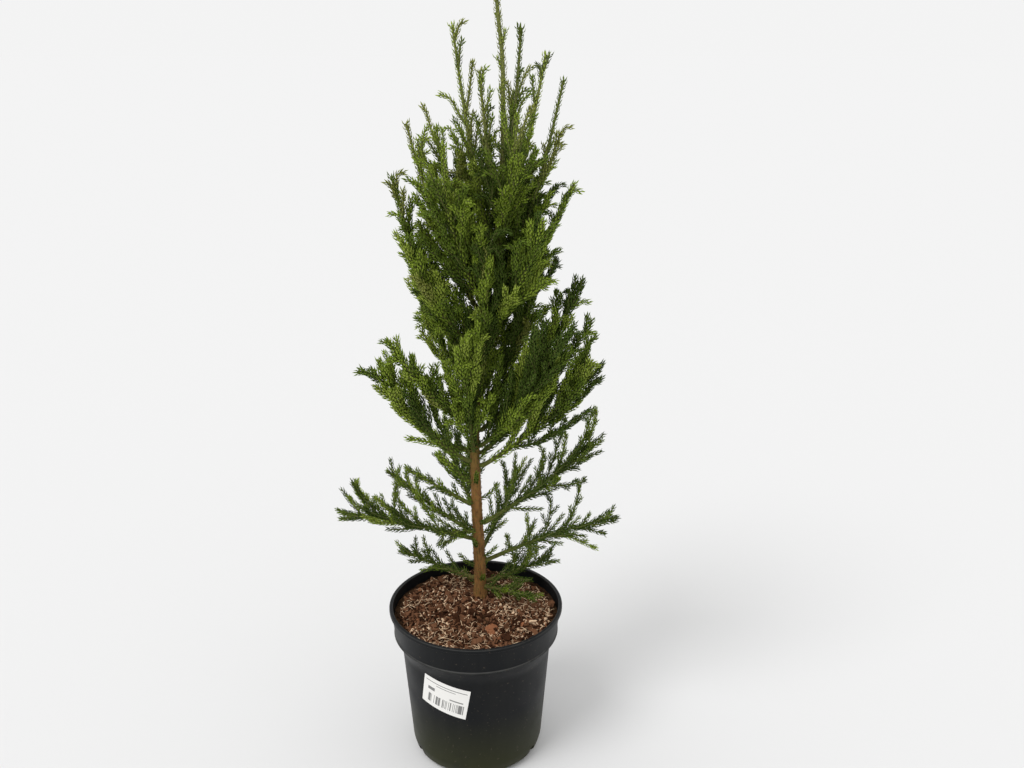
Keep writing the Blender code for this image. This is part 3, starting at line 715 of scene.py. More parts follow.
def fibre_effect():
    """Bark fibres that run along Z: a height for the relief and a mask for the dark splits."""
    inputs = {"Vector": "Vector", "Scale": "Float"}
    outputs = {"Height": "Float", "Splits": "Float"}
    group, given, result = new_group("bark_fibres", "ShaderNodeTree", inputs, outputs)
    along = stretched(group, given["Vector"], (900, 900, 110))
    sockets = {"Vector": along, "Scale": given["Scale"], "Detail": 5.0, "Roughness": 0.65}
    fibres = wire(group, "ShaderNodeTexNoise", sockets)
    splits = ramp(group, fibres, 0.5, 0.36)
    group.links.new(fibres.outputs[0], result.inputs["Height"])
    group.links.new(splits.outputs[0], result.inputs["Splits"])
    return group


BARK_FIBRES = fibre_effect()


def bark(name, ground, pale, green, green_from, green_to):
    """Bark that turns from brown to green between two heights, with green patches below."""
    made, tree, shader = new_finish(name, 0.85)
    spot = object_spot(tree)
    height = height_of(tree, spot)
    fibres = wire(tree, "ShaderNodeGroup", {"Vector": spot, "Scale": 1.0}, node_tree=BARK_FIBRES)
    streaks = patches(tree, stretched(tree, spot, (3, 3, 1)), 60.0, 0.5, 0.2)
    colour = blended(tree, streaks, ground, pale)
    mossy = patches(tree, spot, 75.0, 0.52, 0.25)
    mossy = times(tree, ramp(tree, height, green_from, green_to, 0.25), mossy)
    grown_green = maths(tree, "MAXIMUM", mossy, ramp(tree, height, green_from, green_to))
    colour = blended(tree, grown_green, colour, green)
    colour = blended(tree, times(tree, fibres.outputs["Splits"], 0.75), colour, SPLIT_BROWN)
    paint(tree, shader, colour)
    roughen(tree, shader, fibres.outputs["Height"], 0.8, 0.6 * MM)
    return made


TRUNK_TONES = ((0.075, 0.028, 0.008), (0.25, 0.108, 0.034), (0.095, 0.095, 0.015))
TRUNK_BARK = bark("cedar_bark", *TRUNK_TONES, 300 * MM, 400 * MM)
steps = int((TRUNK_HEIGHT + TRUNK_SUNK) / TRUNK_STEP)
heights = [mix(-TRUNK_SUNK, TRUNK_HEIGHT, share) for share in shares(steps)]
middles = [trunk_point(height) for height in heights]
radii = [trunk_radius(max(0, height)) for height in heights]
trunk_rings = bark_rings(middles, radii, TRUNK_SIDES, BARK_RELIEF, 1)
trunk = add_piece("trunk_bark", skin("trunk_bark", [trunk_rings]), TRUNK_BARK)
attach(trunk, "root")
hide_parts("trunk")

stubs = litter("stub", [straw(chance, STUB_LENGTH, STRAW_THICKNESS) for _ in range(6)])
OLIVE_STUB = new_finish("olive_stub", 0.8, (0.105, 0.1, 0.02))[0]
BROWN_STUB = new_finish("brown_stub", 0.9, (0.15, 0.07, 0.026))[0]
for name, seed, finish in (("needle_stubs", 21, OLIVE_STUB), ("bark_shreds", 22, BROWN_STUB)):
    strewn = strew(name, trunk, stubs, 2.6, 90000, STUB_SIZES, 0.9, 0, 0, seed, finish)
    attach(strewn, "root")
for shapes in (straws, stubs):
    clear_litter(shapes)

# Boughs: slim limbs that leave the trunk a little above each other all the way up, dip or rise, and
# taper to a needle-clad tip. Their first length has thin green-brown bark.
BOUGH_RADIUS = 2.5 * MM
BOUGH_TIP_RADIUS = 0.9 * MM
BOUGH_SUNK = 3 * MM
ROOT_GAP = 0.5 * MM
COLLAR_LENGTH = 2.5 * MM
KNEE_SHARE = 0.55
BOUGH_PIECES = 24
BARKED_SHARE = 0.5
LIMB_PIECES = 36
LIMB_SIDES = 10
LIMB_RELIEF = 0.09
Bough = namedtuple("Bough", "name height azimuth reach rise sweep wood spread seed")
# Heights are above the mix and lengths are centimetres. Azimuth 0 is +X and 90 is +Y. Sweep is the
# share of the rise gained in the first half, wood the share that is bare limb, spread the length of
# the longest side shoot, and seed deals out the side shoots.
MAIN_BOUGHS = [
    ("low_left", 2.4, 176, 8.2, 3.2, 0.45, 0.22, 3.6, 19),
    ("low_right", 1.9, 14, 7.6, 2.3, 0.3, 0.2, 4.6, 9),
    ("low_front", 1.5, -31, 6.2, 0.4, 0.9, 0, 2.4, 0),
    ("long_right", 4.6, 4, 14.6, 4.7, 0.75, 0.34, 3.8, 14),
    ("long_left", 7.3, 181, 14.4, 3.2, 0.72, 0.3, 7.2, 5),
    ("short_front", 8.4, 222, 4.8, 1.2, 0.6, 0, 4.4, 20),
    ("fan_right", 9.2, 2, 11.8, 9.4, 0.42, 0.2, 6.5, 1),
    ("upper_left", 11.4, 168, 7.4, 3.6, 0.5, 0.2, 2.1, 19),
    ("short_left", 14.2, 190, 3.4, 3.4, 0.5, 0, 1.4, 5),
    ("whip_left", 17.6, 171, 6.8, 1.0, 0.7, 0, 1.4, 5),
    ("sweep_left", 16.6, 198, 9.8, 11.0, 0.33, 0.2, 8.0, 11),
    ("sweep_right", 16.0, 354, 11.6, 11.0, 0.36, 0.2, 10.3, 15),
    ("climb_right", 17.4, 14, 12.2, 13.8, 0.34, 0, 3.9, 11),
    ("arch_right", 18.4, 326, 9.6, 12.4, 0.34, 0, 8.4, 13),
    ("front_low", 18.0, 262, 4.4, 12.4, 0.3, 0, 6.0, 3),
    ("front_high", 25.4, 286, 4.0, 15.0, 0.3, 0, 6.0, 15),
    ("tall_right", 20.0, 8, 10.8, 15.6, 0.3, 0, 5.8, 4),
    ("spire_right", 22.5, 20, 7.4, 16.4, 0.28, 0, 7.0, 12),
    ("flank_left", 27.0, 182, 7.8, 19.6, 0.3, 0, 4.8, 8),
    ("crest_right", 31.6, 350, 8.6, 14.4, 0.4, 0, 2.7, 26),
    ("plume_right", 33.5, 6, 7.2, 22.0, 0.3, 0, 6.0, 3),
    ("plume_left", 33.0, 186, 7.0, 18.6, 0.3, 0, 6.5, 22),
    ("spire_left", 40.0, 176, 3.6, 20.4, 0.36, 0, 5.5, 6),
    ("inner_left", 43.0, 236, 2.8, 13.4, 0.36, 0, 3.4, 2),
    ("inner_right", 41.0, 352, 4.4, 16.8, 0.36, 0, 3.7, 6),
    ("top_right", 44.0, 40, 2.4, 16.2, 0.28, 0, 3.1, 4),
    ("back_1", 5.6, 66, 10.4, 5.6, 0.4, 0.22, 5, 29),
    ("back_2", 8, 158, 10.4, 5.6, 0.4, 0.22, 2.95, 24),
    ("back_3", 10.4, 112, 10.4, 5.6, 0.4, 0.22, 7.2, 17),
]
# The rising boughs that fill the crown stand in a spiral. Those that found room: number, turn aside,
# share of the usual spread, seed
SPIRAL_BOUGHS = [
    (1, 0, 1.2, 8),
    (2, 0, 0.59, 11),
    (4, 0, 0.7, 10),
    (6, 0, 0.85, 15),
    (7, 21, 0.85, 9),
    (8, -7, 1, 10),
    (9, 0, 1.2, 10),
    (10, -7, 1.2, 6),
    (11, 28, 1, 6),
    (12, 0, 1.2, 0),
    (13, 0, 1.2, 9),
    (14, 0, 1.2, 0),
]
SPIRAL_COUNT = 15
SPIRAL_START = 84
SPIRAL_FOOT = 19.5
SPIRAL_STEP = 1.62
# The spiral's lowest and highest bough, in centimetres
SPIRAL_REACH = (10.4, 4.6)
SPIRAL_RISE = (10.5, 14)
SPIRAL_SPREAD = (8, 5.6)
SPIRAL_SWEEP = 0.3
GOLDEN_ANGLE = 137.5


def heading(azimuth):
    turn = math.radians(azimuth)
    return Vector((math.cos(turn), math.sin(turn), 0))


def all_boughs():
    """The boughs of the table, and the spiral's."""
    rows = list(MAIN_BOUGHS)
    for number, aside, fullness, seed in SPIRAL_BOUGHS:
        share = (number - 1) / (SPIRAL_COUNT - 1)
        azimuth = SPIRAL_START + GOLDEN_ANGLE * (number - 1) + aside
        reach, rise, spread = (mix(*ends, share) for ends in (SPIRAL_REACH, SPIRAL_RISE, SPIRAL_SPREAD))
        height = SPIRAL_FOOT + SPIRAL_STEP * (number - 1)
        row = (height, azimuth, reach, rise, SPIRAL_SWEEP, 0, spread * fullness, seed)
        rows.append((f"spiral_{number:02d}", *row))
    boughs = [Bough(*row) for row in rows]
    lengths = ("height", "reach", "rise", "spread")
    return [bough._replace(**{name: getattr(bough, name) * CM for name in lengths}) for bough in boughs]


class Path:
    """A line through points, measured by the share of its length."""

    def __init__(self, points):
        self.points = points
        self.length = sum((b - a).length for a, b in zip(points, points[1:]))

    def at(self, share):
        """(point, direction) at a share of the length."""
        left = share * self.length
        for a, b in zip(self.points, self.points[1:]):
            step = (b - a).length
            if left <= step or b is self.points[-1]:
                return a + (b - a) * (left / step), (b - a).normalized()
            left -= step

    def part(self, start, end, pieces):
        return Path([self.at(mix(start, end, share))[0] for share in shares(pieces)])


def bough_path(bough):
    """The bough's line: out of the trunk square to its bark, then a curve up to the tip."""
    out = heading(bough.azimuth)
    root = trunk_point(bough.height) + out * (trunk_radius(bough.height) + ROOT_GAP)
    knee = root + out * (bough.reach * KNEE_SHARE) + UP * (bough.rise * bough.sweep)
    tip = root + out * bough.reach + UP * bough.rise
    collar = root + out * COLLAR_LENGTH
    curve = [bent(collar, knee, tip, share) for share in shares(BOUGH_PIECES)]
    return Path([root - out * BOUGH_SUNK] + curve)


def bough_radius(share):
    return mix(BOUGH_RADIUS, BOUGH_TIP_RADIUS, smooth(0, 1, share) ** 0.8)


BOUGHS = all_boughs()
BOUGH_LINES = {bough.name: bough_path(bough) for bough in BOUGHS}
limb_rings = []
for i, path in enumerate(BOUGH_LINES.values()):
    limb = path.part(0, BARKED_SHARE, LIMB_PIECES)
    radii = [bough_radius(BARKED_SHARE * share) for share in shares(LIMB_PIECES)]
    limb_rings.append(bark_rings(limb.points, radii, LIMB_SIDES, LIMB_RELIEF, 20 + 7 * i))
LIMB_TONES = ((0.1, 0.06, 0.02), (0.16, 0.11, 0.04), (0.09, 0.105, 0.02))
LIMB_BARK = bark("young_bark", *LIMB_TONES, 150 * MM, 230 * MM)
boughs = add_piece("boughs_bark", skin("boughs_bark", limb_rings), LIMB_BARK)
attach(boughs, "root")
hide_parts(*[node for node in frame["nodes"] if node.endswith("_bough")])

# Twigs: every bough carries side shoots turned by the golden angle, the longer shoots carry twigs of
# their own, and all bend up to the light. Each is a slim green stem.
LEADER_SPREAD = 22 * MM
LEADER_LENGTH = 60 * MM
LEADER_END = TREE_HEIGHT - 3 * MM
LEADER_PIECES = 24
LEADER_STEM = (2.7 * MM, 1.8 * MM)
LEADER_NEEDLE = (0.95, 0.82)
LOW_BOUGH = 120 * MM
STEM_PIECES = 30
# A bough is bare for this share of its bare limb, and this share of its length more
NEEDLES_FROM = (0.3, 0.03)
SHOOTS_FROM = (0.6, 0.06)
# Tips start to nod between these heights, up to this share of them
HOOKED_HEIGHTS = (0.3 * TREE_HEIGHT, 0.8 * TREE_HEIGHT)
HOOKED_MOST = 0.7
# Heights between which twigs grow rarer, and shoots grow slimmer
SPARSE_TOP = (400 * MM, 500 * MM)
SLIM_TOP = (370 * MM, 530 * MM)
LONGEST_TWIG = 26 * MM
SHORTEST_TWIG = 7 * MM
# The trunk's sprouts: how many, from and to which height and how long in millimetres
SPROUTS = 18
SPROUT_HEIGHTS = (16, 168)
SPROUT_LENGTHS = (7, 24)
SPROUT_PIECES = 5
SPROUT_SUNK = 1 * MM
SPROUT_RADIUS = 0.9 * MM
SPROUT_NEEDLE = 1.05
SPROUT_AZIMUTH = 150
# How far a sprout reaches out and up, as shares of its length, and how it bends
SPROUT_OUT = 0.85
SPROUT_UP = 0.75
SPROUT_BEND = 1.7
THIN_STEM = 0.85 * MM
# The low boughs' longest side shoots: bough, share along it, and how far the tip lies to the right of
# and above the foot, in millimetres
LONG_SHOOTS = [
    ("long_right", 0.41, 15, 50),
    ("long_right", 0.56, 24, 58),
    ("long_right", 0.5, 52, -15),
    ("long_right", 0.66, 38, -5),
    ("low_right", 0.5, 8, 68),
    ("low_right", 0.35, -3, 50),
    ("low_right", 0.68, 4, 34),
    ("long_left", 0.53, -4, 62),
    ("long_left", 0.71, -24, 46),
    ("low_left", 0.49, -15, 38),
    ("low_left", 0.7, -7, 26),
]
LONG_SHOOT_PIECES = 10
LONG_SHOOT_KNEE = 0.3
LONG_SHOOT_PITCH = 13 * MM
LONG_SHOOT_BARE = 0.25
LONG_TWIG_SHARE = 0.3
SHOOT_PIECES = 7
SHOOT_BARE = 0.14
SHOOT_END = 0.96
SHOOT_TURN = 20
SHOOT_LENGTHS = (0.6, 1.05)
SHRINK = 0.85
SHOOT_RADIUS = 1.15 * MM
STEM_TIP_RADIUS = 0.55 * MM
STEM_GREEN = ((0.07, 0.092, 0.02), (0.15, 0.165, 0.045))
TWIG_RADII = (0.8 * MM, 0.5 * MM)
TWIG_NEEDLE = 0.92
YOUNG_END = 0.45
# A tip nods from this share of its shoot on, outwards and down by these shares of its hook
NOD_FROM = 0.7
NOD_SCALE = 11
NOD_OUT = 0.9
NOD_DOWN = 0.7
HOOK_LENGTHS = (3, 8)
# Where a spray counts as close to the trunk, on the right, high and low in the crown
INNER_REACH = (20 * MM, 60 * MM)
RIGHT_REACH = (-0.02, 0.09)
HIGH_SHARES = (0.55, 0.85)
LOW_SHARES = (0.15, 0.3)
# At the top stems are stouter and needles shorter, and shoots end in a knob instead of a taper
TOP_STEM = 1.35
TOP_NEEDLE = 0.66
TAPERED_TIP = 0.82
KNOBBED_TIP = 1.4
TONES = ("shade", "deep", "mid", "fresh", "olive")
# The darker tone for a shoot's older length: painted shade inside the spray
DARKER = {"shade": "shade", "deep": "shade", "mid": "deep", "fresh": "mid", "olive": "olive"}
Twig = namedtuple("Twig", "points stems needles tone mass")
# How side shoots are dealt out: their spacing, their tilt in degrees, the last one's share of the
# first one's length, how much they bend up and how far they may droop, the length from which they
# fork, the twigs' spacing and share of it, and the needles' size
Habit = namedtuple("Habit", "pitch tilt last lift droop forked twig_pitch twig_share needle")
OPEN_HABIT = Habit(5.4 * MM, (24, 44), 0.6, (0.05, 0.3), 0.3, 40 * MM, 9.5 * MM, 0.32, 1.0)
DENSE_HABIT = Habit(8.5 * MM, (18, 36), 0.34, (0.3, 0.75), 0, 20 * MM, 8 * MM, 0.5, 1.3)
LEADER_HABIT = Habit(20 * MM, (24, 50), 0.5, (0.1, 0.4), 0, 1, 1, 0, 1.2)


def shoot_path(path, share, tilt, roll, length, lift, hook):
    """A side shoot's line: it leaves path at share, tilted off its direction, bends up, and nods."""
    start, direction = path.at(share)
    side = direction.cross(UP).normalized()
    above = side.cross(direction)
    away = above * math.cos(roll) + side * math.sin(roll)
    leaving = direction * math.cos(tilt) + away * math.sin(tilt)
    outwards = Vector((leaving.x, leaving.y, 0)).normalized()
    points = []
    for gone in shares(SHOOT_PIECES):
        point = start + leaving * (length * gone) + UP * (lift * length * gone * gone)
        nod = hook * max(0, gone - NOD_FROM) ** 2 * NOD_SCALE
        points.append(point + outwards * (nod * NOD_OUT) - UP * (nod * NOD_DOWN))
    return Path(points)


def out_of_reach(point):
    """Whether the point lies to the side of the box that the plant's solids fill."""
    low, high = cad_box
    return any(point[k] < low[k] or point[k] > high[k] for k in range(2))


def side_shoots(path, bare, habit, pitch, longest, hooked, chance):
    """Side shoots along a path, turned by the golden angle and shorter towards its tip."""
    count = max(1, int(path.length * (1 - bare) / pitch))
    found = []
    for i in range(count):
        share = bare + (1 - bare) * (i + 0.5) / count
        if share > SHOOT_END:
            break
        tilt = math.radians(chance.uniform(*habit.tilt))
        roll = math.radians(GOLDEN_ANGLE * i + chance.uniform(-SHOOT_TURN, SHOOT_TURN))
        length = longest * mix(1, habit.last, share**0.8) * chance.uniform(*SHOOT_LENGTHS)
        lift = chance.uniform(*habit.lift)
        hook = chance.uniform(*HOOK_LENGTHS) * MM if chance.random() < hooked else 0
        shoot = shoot_path(path, share, tilt, roll, length, lift, hook)
        if shoot.points[-1].z < shoot.points[0].z - habit.droop * length:
            roll = math.pi - roll
            shoot = shoot_path(path, share, tilt, roll, length, lift, hook)
        while out_of_reach(shoot.points[-1]) and length > SHORTEST_TWIG:
            length *= SHRINK
            shoot = shoot_path(path, share, tilt, roll, length, lift, hook)
        if length > SHORTEST_TWIG:
            found.append(shoot)
    return found


def dealt_tone(point, chance):
    """The spray's tone: olive at the top, mid and fresh on the lit left, and in the shade on the right,
    low down and close to the trunk."""
    height = (point.z - TRUNK_FOOT.z) / TREE_HEIGHT
    trunk = trunk_point(height * TREE_HEIGHT)
    inner = 1 - smooth(*INNER_REACH, math.hypot(point.x - trunk.x, point.y - trunk.y))
    right = smooth(*RIGHT_REACH, point.x)
    high = smooth(*HIGH_SHARES, height)
    low = 1 - smooth(*LOW_SHARES, height)
    weights = {
        "shade": mix(0.3, 1.0, right) * (1 - 0.7 * high) + 2 * low + 1.2 * inner * (1 - high),
        "deep": 1.0 + 0.3 * high,
        "mid": mix(1.7, 0.9, right) * (1 - 0.6 * low),
        "fresh": mix(1.1, 0.35, right) * (1 - 0.8 * low) * (1 - 0.7 * inner),
        "olive": 0.05 + 0.6 * high,
    }
    return chance.choices(TONES, [weights[tone] for tone in TONES])[0]


def clad(points, stems, needle, tip_from, tone, mass):
    """A shoot's two lengths: the young end in the spray's tone, and the older one in a darker tone as
    painted shade inside the spray.
    """
    count = len(points) - 1
    slim = [smooth(*SLIM_TOP, point.z - TRUNK_FOOT.z) for point in points]
    stems = [stem * mix(1, TOP_STEM, s) for stem, s in zip(stems, slim)]
    needles = []
    for i, s in enumerate(slim):
        tip = smooth(tip_from, 1, i / count)
        end = mix(TAPERED_TIP, KNOBBED_TIP, s)
        needles.append(needle * mix(1, TOP_NEEDLE, s) * mix(1, end, tip))
    cut = round(count * YOUNG_END)
    old = Twig(points[: cut + 1], stems[: cut + 1], needles[: cut + 1], DARKER[tone], mass)
    return [old, Twig(points[cut:], stems[cut:], needles[cut:], tone, mass)]


def tapered(path, first, last, needle, tone, mass):
    """A shoot along the path, whose stem thins from one radius to another."""
    stems = [mix(first, last, share) for share in shares(len(path.points) - 1)]
    return clad(path.points, stems, needle, 0.72, tone, mass)


def bough_twigs(bough, path):
    """The bough's own needle-clad line, its side shoots and their twigs, fewer of both at the top."""
    chance = random.Random(bough.seed)
    habit = OPEN_HABIT if bough.height < LOW_BOUGH else DENSE_HABIT
    start = bough.wood * NEEDLES_FROM[0] + NEEDLES_FROM[1]
    stem = path.part(start, 1, STEM_PIECES)
    stems = [bough_radius(mix(start, 1, share)) for share in shares(STEM_PIECES)]
    tone = dealt_tone(stem.points[-1], chance)
    found = clad(stem.points, stems, habit.needle, 0.94, tone, bough.name)
    hooked = smooth(*HOOKED_HEIGHTS, bough.height + bough.rise) * HOOKED_MOST
    bare = bough.wood * SHOOTS_FROM[0] + SHOOTS_FROM[1]
    for shoot in side_shoots(path, bare, habit, habit.pitch, bough.spread, hooked, chance):
        tone = dealt_tone(shoot.points[-1], chance)
        sparse = smooth(*SPARSE_TOP, shoot.points[0].z - TRUNK_FOOT.z)
        if chance.random() < sparse * 0.5:
            continue
        found += tapered(shoot, SHOOT_RADIUS, STEM_TIP_RADIUS, habit.needle, tone, bough.name)
        if shoot.length > habit.forked and chance.random() > sparse:
            longest = min(shoot.length * habit.twig_share, LONGEST_TWIG)
            pitch = habit.twig_pitch
            for twig in side_shoots(shoot, SHOOT_BARE, habit, pitch, longest, hooked, chance):
                found += tapered(twig, *TWIG_RADII, habit.needle * TWIG_NEEDLE, tone, bough.name)
    return found


def leader_twigs():
    """The tree's own top: the trunk's last length and a few short shoots."""
    chance = random.Random(7)
    steps = shares(LEADER_PIECES)
    top = Path([trunk_point(mix(TRUNK_HEIGHT - LEADER_LENGTH, LEADER_END, share)) for share in steps])
    stems = [mix(*LEADER_STEM, share) for share in steps]
    needles = [mix(*LEADER_NEEDLE, share) for share in steps]
    found = [Twig(top.points, stems, needles, "olive", "leader")]
    for shoot in side_shoots(top, 0.1, LEADER_HABIT, LEADER_HABIT.pitch, LEADER_SPREAD, 0.5, chance):
        found += tapered(shoot, SPROUT_RADIUS, STEM_TIP_RADIUS, LEADER_HABIT.needle, "fresh", "leader")
    return found


def trunk_sprouts():
    """Short shoots on the trunk's bare length, each given to the bough that is nearest in height."""
    chance = random.Random(12)
    found = []
    for i in range(SPROUTS):
        height = mix(*SPROUT_HEIGHTS, (i + chance.uniform(-0.3, 0.3)) / (SPROUTS - 1)) * MM
        out = heading(GOLDEN_ANGLE * i + SPROUT_AZIMUTH)
        root = trunk_point(height) + out * (trunk_radius(height) - SPROUT_SUNK)
        length = chance.uniform(*SPROUT_LENGTHS) * MM
        points = []
        for gone in shares(SPROUT_PIECES):
            rise = length * SPROUT_UP * gone**SPROUT_BEND
            points.append(root + out * (length * SPROUT_OUT * gone) + UP * rise)
        mass = min(BOUGHS, key=lambda bough: abs(bough.height - height)).name
        found += tapered(Path(points), SPROUT_RADIUS, STEM_TIP_RADIUS, SPROUT_NEEDLE, "deep", mass)
    return found


def long_shoots():
    """The low boughs' longest side shoots and their twigs: each leaves along its bough, then bends."""
    chance = random.Random(15)
    found = []
    for mass, share, right, up in LONG_SHOOTS:
        root, direction = BOUGH_LINES[mass].at(share)
        tip = root + Vector((right, chance.uniform(-9, 3), up)) * MM
        knee = root + direction * ((tip - root).length * LONG_SHOOT_KNEE)
        shoot = Path([bent(root, knee, tip, gone) for gone in shares(LONG_SHOOT_PIECES)])
        tone = dealt_tone(tip, chance)
        found += tapered(shoot, SHOOT_RADIUS, STEM_TIP_RADIUS, OPEN_HABIT.needle, tone, mass)
        longest = shoot.length * LONG_TWIG_SHARE
        spacing = (LONG_SHOOT_BARE, OPEN_HABIT, LONG_SHOOT_PITCH)
        for twig in side_shoots(shoot, *spacing, longest, 0, chance):
            found += tapered(twig, *TWIG_RADII, OPEN_HABIT.needle * TWIG_NEEDLE, tone, mass)
    return found


def twig_lines(name, twigs):
    """The twigs as a mesh of bare lines, with each point's stem radius and needle size."""
    points = [point for twig in twigs for point in twig.points]
    edges = []
    start = 0
    for twig in twigs:
        edges += [(start + i, start + i + 1) for i in range(len(twig.points) - 1)]
        start += len(twig.points)
    mesh = bpy.data.meshes.new(name)
    mesh.from_pydata(points, edges, [])
    for label, field in (("stem", "stems"), ("needle", "needles")):
        values = [value for twig in twigs for value in getattr(twig, field)]
        mesh.attributes.new(label, "FLOAT", "POINT").data.foreach_set("value", values)
    return add_piece(name, mesh)


def grown_along(name, twigs, tree, values):
    """Runs the tree on the twigs' lines, and returns what grew there."""
    lines = twig_lines(f"{name}_lines", twigs)
    made = grown(name, lines, tree, values)
    bpy.data.objects.remove(lines)
    return made


def noted(tree, name, kind="FLOAT"):
    return wire(tree, "GeometryNodeInputNamedAttribute", {"Name": name}, data_type=kind)


def stem_tree():
    """Makes a tapering tube of every line, by its stem radius."""
    tree, given, result = growth_tree("twig_stems", {"Sides": "Int", "Material": "Material"})
    lines = wire(tree, "GeometryNodeMeshToCurve", {0: given["Geometry"]})
    sockets = {"Resolution": given["Sides"], "Radius": 1.0}
    outline = wire(tree, "GeometryNodeCurvePrimitiveCircle", sockets)
    sockets = {"Curve": lines, "Profile Curve": outline, "Scale": noted(tree, "stem")}
    tubes = wire(tree, "GeometryNodeCurveToMesh", {**sockets, "Fill Caps": True})
    rounded_off = wire(tree, "GeometryNodeSetShadeSmooth", {"Geometry": tubes})
    tree.links.new(real_with(tree, rounded_off, given["Material"]).outputs[0], result.inputs[0])
    return tree


def green_stem():
    made, tree, shader = new_finish("green_twig", 0.6)
    pale = patches(tree, object_spot(tree), 90.0, 0.5, 0.3)
    paint(tree, shader, blended(tree, pale, *STEM_GREEN))
    return made


TWIGS = leader_twigs() + trunk_sprouts() + long_shoots()
for bough in BOUGHS:
    TWIGS += bough_twigs(bough, BOUGH_LINES[bough.name])
MASSES = [node for node in frame["nodes"] if node.endswith("_foliage")]
STEM_TREE = stem_tree()
GREEN_STEM = green_stem()
for name, sides, stout in (("green_shoots", 5, True), ("green_twigs", 3, False)):
    mine = [twig for twig in TWIGS if (twig.stems[0] > THIN_STEM) == stout]
    stems = grown_along(name, mine, STEM_TREE, {"Sides": sides, "Material": GREEN_STEM})
    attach(stems, "root")
    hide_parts(*MASSES)

# Needles: short stiff awls that clasp the twig in a close spiral, lean forwards and curve back in.
# Those of one spray share a tone, from dark green in the shade to olive at the top, and each shoot's
# older length is painted a step darker as shade. Their points are paler.
NEEDLE_PITCH = 0.62 * MM
NEEDLE_SWING = 9
NEEDLE_SIZES = (0.85, 1.12)
# Foot, waist and point in millimetres: off the bark, aside and along the twig
NEEDLE_POINTS = [
    (-0.3, 0, -0.5),
    (1.5, 0.78, 1.5),
    (1.5, -0.78, 1.5),
    (2.1, 0, 1.0),
    (2.35, 0, 4.3),
]
NEEDLE_FACES = [(0, 1, 2), (0, 3, 1), (0, 2, 3), (4, 2, 1), (4, 1, 3), (4, 3, 2)]
# Foot and point of the needles, by tone
NEEDLE_TONES = {
    "shade": ((0.024, 0.043, 0.004), (0.058, 0.094, 0.013)),
    "deep": ((0.053, 0.087, 0.005), (0.122, 0.18, 0.021)),
    "mid": ((0.1, 0.15, 0.008), (0.22, 0.3, 0.035)),
    "fresh": ((0.13, 0.184, 0.012), (0.29, 0.365, 0.058)),
    "olive": ((0.105, 0.122, 0.012), (0.235, 0.26, 0.06)),
}


def needle_shape():
    """One awl-shaped needle: its foot is in the twig, and it bends at its waist and is keeled outside."""
    mesh = bpy.data.meshes.new("needle")
    mesh.from_pydata([Vector(point) * MM for point in NEEDLE_POINTS], [], NEEDLE_FACES)
    mesh.attributes.new("point", "BOOLEAN", "FACE").data.foreach_set("value", [i > 2 for i in range(6)])
    return bpy.data.objects.new("needle", mesh)


def needle_tree():
    """Sets needles in a golden spiral along every line, on the bark, each turned a little at random."""
    inputs = {"Needle": "Object", "Pitch": "Float", "Swing": "Float", "Seed": "Int"}
    inputs.update({"Foot Material": "Material", "Point Material": "Material"})
    tree, given, result = growth_tree("needle_coat", inputs)
    lines = wire(tree, "GeometryNodeMeshToCurve", {0: given["Geometry"]})
    sockets = {"Curve": lines, "Length": given["Pitch"]}
    spots = wire(tree, "GeometryNodeCurveToPoints", sockets, mode="LENGTH")
    spiral = times(tree, wire(tree, "GeometryNodeInputIndex"), math.radians(GOLDEN_ANGLE))
    facing = turned(tree, spots.outputs["Rotation"], vector(tree, 0.0, 0.0, spiral))
    swing = given["Swing"]
    back = times(tree, swing, -1.0)
    low, high = vector(tree, back, back, back), vector(tree, swing, swing, swing)
    facing = turned(tree, facing, random_angles(tree, low, high, given["Seed"]))
    outwards = {0: vector(tree, noted(tree, "stem"), 0.0, 0.0), 1: facing}
    outwards = wire(tree, "FunctionNodeRotateVector", outwards)
    on_bark = wire(tree, "GeometryNodeSetPosition", {"Geometry": spots, "Offset": outwards})
    sockets = {2: NEEDLE_SIZES[0], 3: NEEDLE_SIZES[1], "Seed": given["Seed"]}
    size = times(tree, noted(tree, "needle"), wire(tree, "FunctionNodeRandomValue", sockets).outputs[1])
    needle = wire(tree, "GeometryNodeObjectInfo", {0: given["Needle"]}).outputs["Geometry"]
    sockets = {"Points": on_bark, "Instance": needle, "Rotation": facing, "Scale": size}
    placed = wire(tree, "GeometryNodeInstanceOnPoints", sockets)
    sockets = {
        "Geometry": real_with(tree, placed, given["Foot Material"]),
        "Selection": noted(tree, "point", "BOOLEAN"),
        "Material": given["Point Material"],
    }
    tipped = wire(tree, "GeometryNodeSetMaterial", sockets)
    tree.links.new(tipped.outputs[0], result.inputs[0])
    return tree


NEEDLE_COAT = needle_tree()
needle = needle_shape()
bpy.context.scene.collection.objects.link(needle)
for index, (tone, (foot, point)) in enumerate(NEEDLE_TONES.items()):
    foot_finish = new_finish(f"{tone}_needle", 0.7, foot, 0.1)[0]
    point_finish = new_finish(f"{tone}_needle_point", 0.65, point, 0.1)[0]
    values = {
        "Needle": needle,
        "Pitch": NEEDLE_PITCH,
        "Swing": math.radians(NEEDLE_SWING),
        "Seed": 11 + index,
        "Foot Material": foot_finish,
        "Point Material": point_finish,
    }
    for half in (0, 1):
        mine = [twig for twig in TWIGS if twig.tone == tone][half::2]
        coat = grown_along(f"{tone}_needles_{half + 1}", mine, NEEDLE_COAT, values)
        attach(coat, "root")
        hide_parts(*sorted({f"{twig.mass}_foliage" for twig in mine}))
bpy.data.objects.remove(needle)

